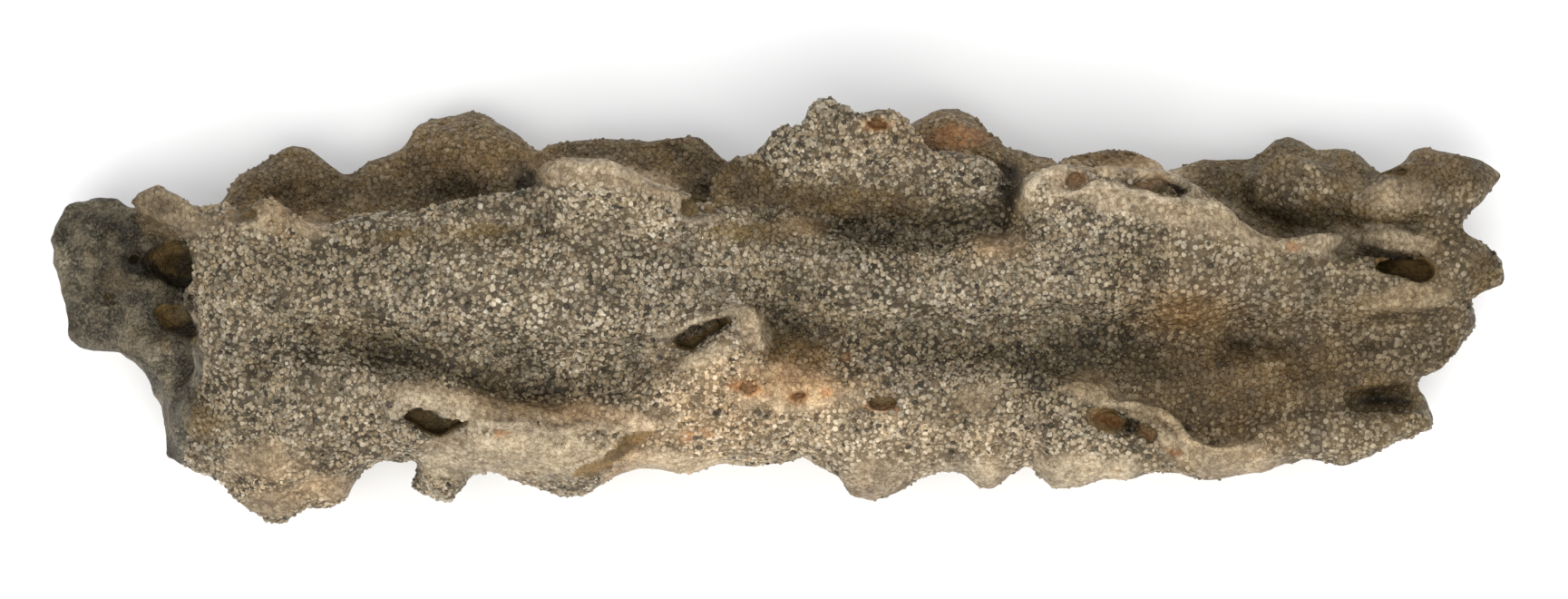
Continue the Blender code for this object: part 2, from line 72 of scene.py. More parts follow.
def top(x, y):
    """How high the bare tube's upper side is there."""
    hit = tube.ray_cast(place(x, y, OVER_ALL), Vector((0, 0, -1)))[0]
    return hit.z / MM if hit else USUAL_TOP


def underside(x, y):
    """How high the bare tube's lower side is there."""
    hit = tube.ray_cast(place(x, y, UNDER_ALL), Vector((0, 0, 1)))[0]
    return hit.z / MM if hit else 0.0


def thing(name, bm):
    """An object that holds what was modelled in bm."""
    mesh = bpy.data.meshes.new(name)
    bm.to_mesh(mesh)
    bm.free()
    made = bpy.data.objects.new(name, mesh)
    bpy.context.scene.collection.objects.link(made)
    return made


def settle(made):
    """Turns an object's modifiers into its mesh."""
    graph = bpy.context.evaluated_depsgraph_get()
    done = bpy.data.meshes.new_from_object(made.evaluated_get(graph))
    made.modifiers.clear()
    made.data = done


def pit(bm, outline, depth, narrows=0.8, slide=(0, 0)):
    """A hole cutter with a ragged outline, sunk depth below the surface and narrower at its floor."""
    middle = np.mean(outline, axis=0)
    level = max(top(x, y) for x, y in outline)
    depth = min(depth, level - underside(*middle) - THINNEST_WALL)
    rim = [bm.verts.new(place(x, y, level + CUTTER_RISE)) for x, y in outline]
    lid = bm.faces.new(rim)
    down = bmesh.ops.extrude_face_region(bm, geom=[lid])["geom"]
    floor = [part for part in down if isinstance(part, bmesh.types.BMVert)]
    bmesh.ops.translate(bm, verts=floor, vec=Vector((0, 0, -CUTTER_RISE - depth / 3)) * MM)
    faces = [part for part in down if isinstance(part, bmesh.types.BMFace)]
    down = bmesh.ops.extrude_face_region(bm, geom=faces)["geom"]
    bmesh.ops.delete(bm, geom=faces, context="FACES_ONLY")
    floor = [part for part in down if isinstance(part, bmesh.types.BMVert)]
    centre = place(*middle, 0)
    shift = Vector((*slide, -2 * depth / 3)) * MM
    bmesh.ops.scale(bm, verts=floor, vec=(narrows, narrows, 1), space=Matrix.Translation(-centre))
    bmesh.ops.translate(bm, verts=floor, vec=shift)


def perch(x, y):
    """That spot, or one beside it on the fold above if the spot lies just past a fold's edge."""
    turns = [number * math.tau / 8 for number in range(8)]
    around = [(x + PERCH_REACH * math.cos(turn), y + PERCH_REACH * math.sin(turn)) for turn in turns]
    higher = max(around, key=lambda beside: top(*beside))
    return higher if top(*higher) > top(x, y) + PERCH_STEP else (x, y)


def bead(bm, path, sides=8):
    """A rounded strand on the surface, which drops no more steeply than STEEPEST from either end."""
    last_ring = []
    spots = [perch(x, y) for x, y, *_ in path]
    points = [Vector((x, y, top(x, y) + row[2])) for (x, y), row in zip(spots, path)]
    for one, other in [*zip(points, points[1:]), *zip(points[:0:-1], points[-2::-1])]:
        reach = (other.xy - one.xy).length
        other.z = max(other.z, one.z - STEEPEST * reach)
    for at, row in enumerate(path):
        ahead = points[min(at + 1, len(points) - 1)] - points[max(at - 1, 0)]
        ahead.normalize()
        side = ahead.cross(Vector((0, 0, 1))).normalized()
        over = side.cross(ahead)
        wide, high = row[3] / 2, row[4] / 2
        turn = Matrix((side * wide, over * high, -ahead)).transposed()
        spot = Matrix.Translation(place(*points[at])) @ (turn * MM).to_4x4()
        ends = at in (0, len(path) - 1)
        circle = bmesh.ops.create_circle(bm, cap_ends=ends, segments=sides, radius=1, matrix=spot)
        ring = list({edge for vert in circle["verts"] for edge in vert.link_edges})
        if last_ring:
            bmesh.ops.bridge_loops(bm, edges=last_ring + ring)
        last_ring = ring


# Holes: each is its outline, its depth, its floor's width as a share of its mouth's, and how far its
# floor slides.
PITS = {
    "glass cavity": (((5.5, 2.9), (5.75, 3.45), (6.15, 3.75), (6.3, 4.05), (6.85, 3.85), (7.4, 3.5),
                      (7.75, 3.2), (7.9, 2.1), (7.45, 1.85), (6.2, 2.0)), 1.8, 0.8, (0.4, 0)),
    "glass hollow": (((5.5, 0.1), (6.2, 0.3), (7.55, 0.3), (7.75, -0.4), (7.2, -0.95), (5.95, -0.9)),
                     1.0, 0.7, (0.2, 0)),
    "left mouth": (((19.15, -5.8), (19.8, -5.45), (20.7, -5.4), (21.0, -5.6), (21.55, -5.95),
                    (21.95, -6.0), (22.55, -5.7), (22.85, -6.0), (23.3, -6.25), (22.85, -6.35),
                    (22.3, -6.65), (21.75, -7.0), (21.2, -6.95), (20.45, -6.7), (19.9, -6.25)),
                   2.4, 0.8, (0, 0.2)),
    "long slit": (((34.1, -1.95), (34.95, -2.2), (35.45, -2.25), (36.1, -1.55), (36.6, -1.05),
                   (37.1, -1.0), (37.6, -0.6), (37.6, -0.35), (37.1, -0.4), (36.5, -0.7),
                   (35.8, -1.15), (34.75, -1.6)), 2.6, 0.9, (0, 0.3)),
    "crest eye": (((55.6, 7.0), (56.15, 7.45), (57.2, 7.6), (57.1, 7.2), (56.7, 6.9), (56.3, 6.65)),
                  0.5, 0.7, (0, 0.1)),
    "crest hollow": (((59.1, 6.85), (59.6, 7.2), (60.2, 7.5), (61.2, 7.5), (61.6, 7.1), (61.7, 6.5),
                      (61.1, 6.25), (60.5, 6.6), (59.3, 6.6)), 0.8, 0.7, (0, 0.3)),
    "right mouth": (((56.85, -5.5), (57.75, -5.3), (58.6, -5.4), (59.35, -6.0), (59.2, -6.6),
                     (58.6, -6.8), (57.8, -6.6), (57.15, -6.2)), 0.8, 0.8, (0, 0.3)),
    "right nostril": (((59.75, -6.3), (60.3, -6.2), (60.9, -6.5), (61.0, -7.1), (60.6, -7.3),
                       (60.0, -6.9)), 0.8, 0.7, (0, 0.3)),
    "end slot": (((72.75, 2.6), (73.2, 2.95), (74.45, 2.8), (75.8, 2.8), (76.7, 2.3), (76.6, 1.9),
                  (75.7, 1.65), (74.45, 1.7), (73.7, 1.95), (72.95, 2.05)), 0.9, 0.75, (0, 0.1)),
    "curled flake": (((33.1, -6.45), (31.5, -6.8), (31.3, -7.45), (30.55, -7.8), (30.5, -8.2),
                      (29.1, -8.75), (28.6, -9.15), (29.7, -9.2), (30.8, -8.65), (31.7, -7.9),
                      (32.45, -7.4), (33.0, -6.9)), 0.5, 0.9, (-0.2, 0.3)),
    "rust smile": (((37.3, -3.9), (37.9, -4.05), (38.4, -4.0), (39.2, -3.9), (38.9, -4.35),
                    (38.6, -4.65), (38.1, -4.4), (37.6, -4.2)), 0.7, 0.7, (0, 0.1)),
    "rust hole": (((40.7, -4.5), (41.2, -4.4), (41.8, -4.4), (41.7, -4.75), (41.1, -5.05),
                   (40.75, -4.85)), 0.7, 0.7, (0, 0.1)),
    "rust nick": (((42.6, -4.3), (42.95, -4.3), (43.0, -4.6), (42.7, -4.7)), 0.5, 0.7, (0, 0)),
    "rust pock": (((43.6, -2.3), (44.1, -2.3), (44.15, -2.65), (43.7, -2.7)), 0.5, 0.7, (0, 0)),
    "ridge hole": (((44.85, -1.9), (45.35, -1.9), (45.4, -2.25), (44.9, -2.3)), 0.8, 0.7, (0, 0)),
    "ridge slot": (((45.1, -4.95), (45.6, -4.8), (46.4, -4.8), (46.75, -5.0), (46.6, -5.3),
                    (45.7, -5.4), (45.15, -5.3)), 0.9, 0.8, (0, 0.2)),
    "band hole": (((24.5, -6.6), (25.1, -6.6), (25.0, -6.85), (24.6, -6.9)), 0.5, 0.7, (0, 0)),
    "band slot": (((26.4, -6.5), (27.35, -6.55), (27.3, -6.8), (26.5, -6.75)), 0.5, 0.8, (0, 0)),
    "band nick": (((27.5, -7.1), (28.2, -7.15), (28.2, -7.35), (27.6, -7.3)), 0.4, 0.8, (0, 0)),
    "lip slot": (((21.95, -8.1), (22.75, -8.1), (22.7, -8.3), (22.0, -8.3)), 0.4, 0.8, (0, 0)),
    "mouth slit": (((19.2, -6.8), (19.85, -6.65), (19.8, -6.9), (19.3, -7.0)), 0.5, 0.8, (0, 0)),
    "lobe slot": (((8.6, -6.2), (9.1, -6.15), (9.05, -6.45), (8.65, -6.45)), 0.5, 0.8, (0, 0)),
    "crest cup": (((34.7, 6.15), (35.3, 6.2), (35.75, 6.0), (35.7, 5.3), (35.1, 5.05), (34.7, 5.2)),
                  0.9, 0.7, (0, 0)),
    "crest dimple": (((35.9, 5.9), (36.5, 5.9), (36.6, 5.35), (36.1, 5.15)), 0.6, 0.7, (0, 0)),
    "corner pocket": (((9.7, 5.55), (10.5, 5.7), (11.4, 5.6), (11.65, 5.2), (11.1, 4.8), (10.2, 4.75),
                       (9.75, 5.1)), 0.8, 0.7, (0, 0.1)),
    "tip hole": (((44.85, 10.5), (45.5, 10.6), (46.2, 10.3), (46.1, 10.0), (45.2, 9.95)),
                 0.8, 0.8, (0, 0)),
    "lobe eye": (((49.0, 9.75), (49.7, 9.75), (49.7, 9.5), (49.05, 9.5)), 0.9, 0.8, (0, 0)),
    "glass pock": (((4.0, 2.6), (4.1, 3.1), (4.5, 3.2), (4.85, 2.9), (4.7, 2.5), (4.3, 2.4)),
                   0.8, 0.6, (0, 0)),
    "glass dimple": (((2.7, 0.6), (2.8, 1.0), (3.2, 1.1), (3.45, 0.8), (3.1, 0.5)), 0.5, 0.6, (0, 0)),
    "end gap": (((72.6, 7.75), (74.9, 7.8), (75.0, 7.4), (73.6, 7.3), (72.7, 7.45)), 1.4, 0.8, (0, 0)),
}
# Painted light: deep down, the floors of these hollows are painted paler.
PAINTED_LIGHT_FLOORS = {"end slot": 2.0, "right mouth": 1.5}
# Strands: each row is x, y, its rise over the surface, its width and its height.
BEADS = {
    "mouth lip": ((18.9, -5.6, 0.1, 0.5, 0.5), (19.6, -5.2, 0.1, 0.6, 0.5), (20.3, -5.0, -0.05, 1.5, 0.5),
                  (20.9, -5.0, -0.05, 1.8, 0.5), (21.5, -5.0, -0.05, 2.3, 0.5), (22.0, -5.1, -0.05, 1.8, 0.5),
                  (22.6, -5.3, -0.05, 1.4, 0.5), (23.2, -5.85, 0.1, 0.5, 0.5)),
    "slit rod": ((33.4, -1.4, 0.0, 0.4, 0.4), (34.2, -1.3, 0.25, 0.5, 0.6), (35.2, -0.95, 0.5, 0.5, 0.8),
                 (36.2, -0.4, 0.6, 0.5, 0.9), (37.2, -0.1, 0.4, 0.5, 0.8), (37.7, 0.0, 0.1, 0.4, 0.5)),
    "nose rim": ((37.7, 0.1, 0.0, 0.5, 0.6), (38.3, -0.1, 0.3, 0.6, 0.9), (38.9, -0.6, 0.3, 0.6, 0.9),
                 (39.3, -1.2, 0.2, 0.5, 0.8), (39.3, -1.9, 0.0, 0.4, 0.5)),
    "high rim": ((26.6, 7.2, -0.2, 0.5, 0.5), (27.3, 7.85, 0.1, 0.5, 0.5), (28.4, 8.2, 0.1, 0.5, 0.5),
                 (29.4, 7.85, 0.1, 0.5, 0.5), (30.7, 7.95, 0.1, 0.5, 0.5), (31.8, 7.5, 0.1, 0.5, 0.5),
                 (33.0, 7.3, 0.1, 0.5, 0.5), (34.1, 6.9, 0.1, 0.5, 0.5), (34.5, 6.3, 0.0, 0.5, 0.5),
                 (34.6, 5.5, -0.1, 0.4, 0.4)),
    "cup lip": ((34.6, 5.2, 0.0, 0.3, 0.4), (35.3, 4.95, 0.15, 0.3, 0.4), (36.2, 5.0, 0.15, 0.3, 0.4),
                (36.9, 5.1, 0.0, 0.3, 0.3)),
    "crest lip": ((55.4, 6.5, 0.0, 0.4, 0.4), (56.4, 6.5, 0.15, 0.35, 0.5), (57.4, 6.95, 0.2, 0.35, 0.5),
                  (58.8, 6.8, 0.2, 0.35, 0.5), (59.3, 6.5, 0.2, 0.35, 0.5), (60.4, 6.5, 0.2, 0.35, 0.5),
                  (61.0, 6.05, 0.2, 0.35, 0.5), (62.2, 6.3, 0.2, 0.35, 0.5), (63.3, 5.8, 0.2, 0.35, 0.5),
                  (64.3, 5.85, 0.2, 0.35, 0.5), (65.4, 5.5, 0.2, 0.35, 0.5), (66.4, 4.5, 0.1, 0.35, 0.4)),
    "crest brow": ((53.7, 6.4, 0.0, 0.4, 0.4), (54.5, 7.4, 0.15, 0.5, 0.5), (55.7, 7.9, 0.25, 0.5, 0.6),
                   (57.2, 8.0, 0.15, 0.5, 0.5), (58.3, 7.6, 0.25, 0.5, 0.6), (59.5, 7.85, 0.15, 0.5, 0.5),
                   (61.0, 7.95, 0.25, 0.5, 0.6), (62.2, 7.5, 0.15, 0.5, 0.5), (63.0, 6.7, 0.0, 0.4, 0.4)),
    "hollow rim": ((57.6, -4.9, 0.0, 0.4, 0.5), (58.7, -5.05, 0.25, 0.4, 0.6), (60.2, -5.3, 0.25, 0.4, 0.6),
                   (61.3, -5.6, 0.25, 0.4, 0.6), (62.2, -6.5, 0.25, 0.4, 0.6), (62.9, -7.2, 0.25, 0.4, 0.6),
                   (64.2, -7.6, 0.25, 0.5, 0.6), (66.5, -7.45, 0.1, 0.5, 0.5)),
    "flake edge": ((33.3, -6.3, 0.1, 0.3, 0.4), (31.6, -6.65, 0.2, 0.3, 0.5), (31.2, -7.2, 0.2, 0.3, 0.5),
                   (30.6, -7.6, 0.2, 0.3, 0.5), (30.3, -8.0, 0.2, 0.3, 0.5), (29.0, -8.6, 0.2, 0.3, 0.4)),
    "pocket lip": ((9.7, 4.9, 0.0, 0.3, 0.4), (10.5, 4.6, 0.15, 0.3, 0.4), (11.4, 4.75, 0.1, 0.3, 0.4)),
    "spike": ((11.7, 4.6, 0.1, 0.5, 0.5), (12.2, 5.4, 0.4, 0.6, 0.6), (12.3, 5.8, 0.5, 0.3, 0.3)),
    "tan lump": ((56.2, -3.9, 0.0, 0.7, 0.5), (57.0, -4.1, 0.3, 1.3, 1.0), (57.9, -4.5, 0.2, 1.0, 0.8),
                 (58.4, -4.8, 0.0, 0.5, 0.4)),
    "end lip": ((72.8, 0.2, 0.0, 0.4, 0.5), (74.0, 0.3, 0.2, 0.5, 0.6), (75.4, 0.4, 0.2, 0.5, 0.6),
                (76.8, 0.6, 0.0, 0.4, 0.4)),
    "end knob": ((71.7, 4.05, 0.0, 0.8, 0.8), (72.8, 4.0, 0.5, 1.4, 1.8), (73.8, 3.95, 0.9, 1.7, 2.6),
                 (74.6, 3.9, 1.0, 1.6, 2.6), (75.5, 3.8, -0.2, 1.0, 1.0)),
    "shelf lip": ((23.5, -6.1, 0.0, 0.4, 0.4), (25.0, -6.35, 0.15, 0.45, 0.5), (26.4, -6.3, 0.15, 0.45, 0.5),
                  (28.0, -6.65, 0.15, 0.45, 0.5), (29.5, -6.3, 0.15, 0.45, 0.5), (31.0, -6.45, 0.1, 0.4, 0.5),
                  (33.0, -6.1, 0.0, 0.3, 0.4)),
    "crust edge": ((7.85, 1.9, 0.0, 0.3, 0.3), (7.5, 0.9, 0.1, 0.35, 0.4), (7.45, 0.1, 0.1, 0.35, 0.4),
                   (8.05, -0.9, 0.1, 0.35, 0.4), (8.2, -1.9, 0.1, 0.35, 0.4), (8.45, -2.8, 0.1, 0.35, 0.4),
                   (8.3, -4.0, 0.0, 0.3, 0.3)),
    "glass saddle": ((3.6, 1.9, 0.0, 0.5, 0.4), (4.6, 1.7, 0.15, 0.7, 0.7), (5.8, 1.35, 0.2, 0.7, 0.8),
                     (7.2, 1.0, 0.0, 0.5, 0.5)),
    "glass rim": ((1.15, 2.7, 0.0, 0.2, 0.3), (1.45, 3.35, 0.15, 0.25, 0.4), (1.9, 3.7, 0.15, 0.25, 0.4),
                  (2.6, 3.75, 0.0, 0.2, 0.3)),
    "glass arc": ((2.8, 0.2, 0.0, 0.2, 0.3), (3.3, 0.3, 0.12, 0.25, 0.35), (3.75, 0.6, 0.0, 0.2, 0.3)),
    "skirt line": ((5.2, -3.3, 0.0, 0.2, 0.3), (5.9, -3.55, 0.12, 0.3, 0.4), (6.6, -3.7, 0.0, 0.2, 0.3)),
    "right bump": ((68.3, 3.7, 0.0, 0.8, 0.6), (69.4, 3.75, 0.3, 1.3, 1.1), (70.7, 3.8, 0.3, 1.2, 1.0),
                   (71.4, 3.9, 0.0, 0.6, 0.5)),
}

bm = bmesh.new()
bm.from_mesh(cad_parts[NODE].data)
bmesh.ops.remove_doubles(bm, verts=bm.verts, dist=MERGED * MM)
tube = BVHTree.FromBMesh(bm)
glass = thing("fused_glass", bm)

bm = bmesh.new()
for outline, depth, narrows, slide in PITS.values():
    pit(bm, outline, depth, narrows, slide)
bmesh.ops.recalc_face_normals(bm, faces=bm.faces)
holes = thing("holes", bm)
carve = glass.modifiers.new("carve", "BOOLEAN")
carve.operation = "DIFFERENCE"
carve.object = holes
settle(glass)
bpy.data.objects.remove(holes)

bm = bmesh.new()
bm.from_mesh(glass.data)
for path in BEADS.values():
    bead(bm, path)
bm.to_mesh(glass.data)
bm.free()
melt = glass.modifiers.new("melt together", "REMESH")
melt.mode = "VOXEL"
melt.voxel_size = VOXEL * MM
melt.adaptivity = 0
ease = glass.modifiers.new("ease", "SMOOTH")
ease.iterations = 1
settle(glass)
thin = glass.modifiers.new("thin out", "DECIMATE")
thin.ratio = GLASS_TRIANGLES / (2 * len(glass.data.polygons))
settle(glass)

# What the flash left on the glass, seen from above. Each spot is x, y, its two half widths and its lean
# in degrees. Spots carry less sand than the crust around them.
SPOTS = {
    "tan": (
        (6.6, 5.4, 2.1, 1.2, -20), (12.3, 5.2, 0.8, 0.9, 0), (14.4, 4.7, 0.8, 0.6, 0),
        (28.0, 7.7, 2.2, 0.7, 0), (31.0, 7.5, 2.0, 0.8, -8), (33.6, 6.8, 1.3, 0.6, -30),
        (11.7, -8.2, 2.0, 1.1, 0), (15.4, -9.8, 1.8, 0.6, 5), (12.3, -10.6, 1.6, 0.7, 0),
        (21.0, -4.8, 2.4, 0.8, -10), (24.5, -5.5, 2.6, 0.7, -10), (29.5, -5.7, 2.8, 0.7, -4),
        (32.3, -6.0, 1.4, 0.5, -5), (22.3, -7.3, 1.3, 0.6, 0), (31.8, -8.7, 1.8, 0.5, 35),
        (38.7, -0.9, 0.8, 1.1, 0), (40.9, -3.6, 2.9, 0.6, -6), (51.0, -4.8, 1.2, 0.7, 0),
        (45.5, -9.3, 1.8, 1.0, 0), (52.0, -9.0, 1.0, 0.9, 0), (41.6, 4.65, 1.2, 0.55, 0),
        (52.2, 3.7, 1.4, 0.6, 0), (56.0, 6.9, 1.1, 0.8, 0), (58.5, 6.2, 1.7, 0.7, 0),
        (61.5, 5.5, 1.7, 0.7, -15), (64.0, 5.1, 1.9, 0.9, -10), (66.2, 4.3, 1.5, 0.8, -45),
        (53.6, 6.4, 0.6, 1.1, 0), (60.5, 7.7, 2.2, 0.5, -10), (69.8, 3.75, 1.6, 0.7, 0),
        (74.3, 6.4, 1.9, 0.8, 0), (74.1, 4.0, 1.6, 0.8, 0), (74.8, 0.8, 2.2, 0.6, 5),
        (57.2, -4.0, 1.2, 0.8, 0), (60.6, -5.6, 1.8, 0.6, -20), (65.0, -8.3, 2.6, 0.8, 0),
    ),
    "cream": (
        (27.0, -7.9, 3.6, 1.3, 0), (36.0, -2.5, 1.3, 0.4, 20), (41.0, -4.7, 3.2, 0.7, 0),
        (34.5, -8.5, 3.0, 0.6, 0), (57.3, -8.9, 2.8, 1.0, 0), (22.0, -8.4, 1.6, 0.8, 0),
        (65.2, -8.2, 2.6, 0.7, 0), (61.9, -7.2, 1.4, 0.5, -20), (50.5, -9.0, 1.6, 0.7, 0),
    ),
    "brown": (
        (8.3, -6.1, 1.0, 0.8, 0), (41.2, -2.1, 2.0, 1.1, -15),
        (76.6, 7.8, 2.6, 1.2, -10), (71.3, 8.4, 1.1, 0.6, 0), (44.0, 6.0, 5.0, 0.8, -5),
        (23.0, -5.0, 1.6, 0.5, -15), (31.6, -7.6, 1.9, 0.45, 40), (21.5, 4.3, 4.5, 0.35, 3),
        (38.5, 4.3, 2.0, 0.5, -5), (37.8, 7.0, 1.8, 1.2, 0), (53.0, 6.3, 0.6, 1.6, 0),
        (71.2, 5.4, 2.5, 0.8, -15), (58.6, 8.8, 4.2, 0.75, 0), (73.8, -4.7, 2.2, 1.2, 0),
        (78.9, 2.2, 0.8, 1.2, 0), (79.0, 7.4, 0.9, 0.6, 0),
    ),
    "rust": (
        (50.0, 9.6, 1.7, 0.6, 0), (68.4, 3.5, 0.4, 0.3, 0),
        (35.0, -7.0, 0.5, 0.4, 0), (36.2, -6.7, 0.4, 0.25, 0), (38.3, -4.2, 1.1, 0.4, -15),
        (41.2, -4.7, 0.6, 0.4, 0), (42.8, -4.5, 0.3, 0.25, 0), (43.9, -2.5, 0.3, 0.25, 0),
        (45.9, -5.3, 0.9, 0.25, 0), (61.8, -7.7, 0.5, 0.25, -20), (13.1, 4.1, 0.3, 0.2, 0),
        (24.8, -6.75, 0.4, 0.2, 0), (45.5, 10.2, 0.7, 0.3, 0), (58.2, -6.0, 0.9, 0.4, -20),
        (60.5, -6.8, 0.4, 0.3, -20), (56.5, 7.2, 0.5, 0.25, 15), (60.6, 7.0, 0.9, 0.3, 0),
    ),
    # Grime and painted shade: dark spots in notches and pits.
    "grime": (
        (52.9, 6.9, 0.7, 1.4, 0), (26.2, 7.0, 0.7, 0.7, 0), (73.4, -4.95, 1.3, 0.25, 0),
        (4.5, 2.9, 0.6, 0.8, 0), (7.4, 2.4, 0.6, 0.7, 0),
    ),
}
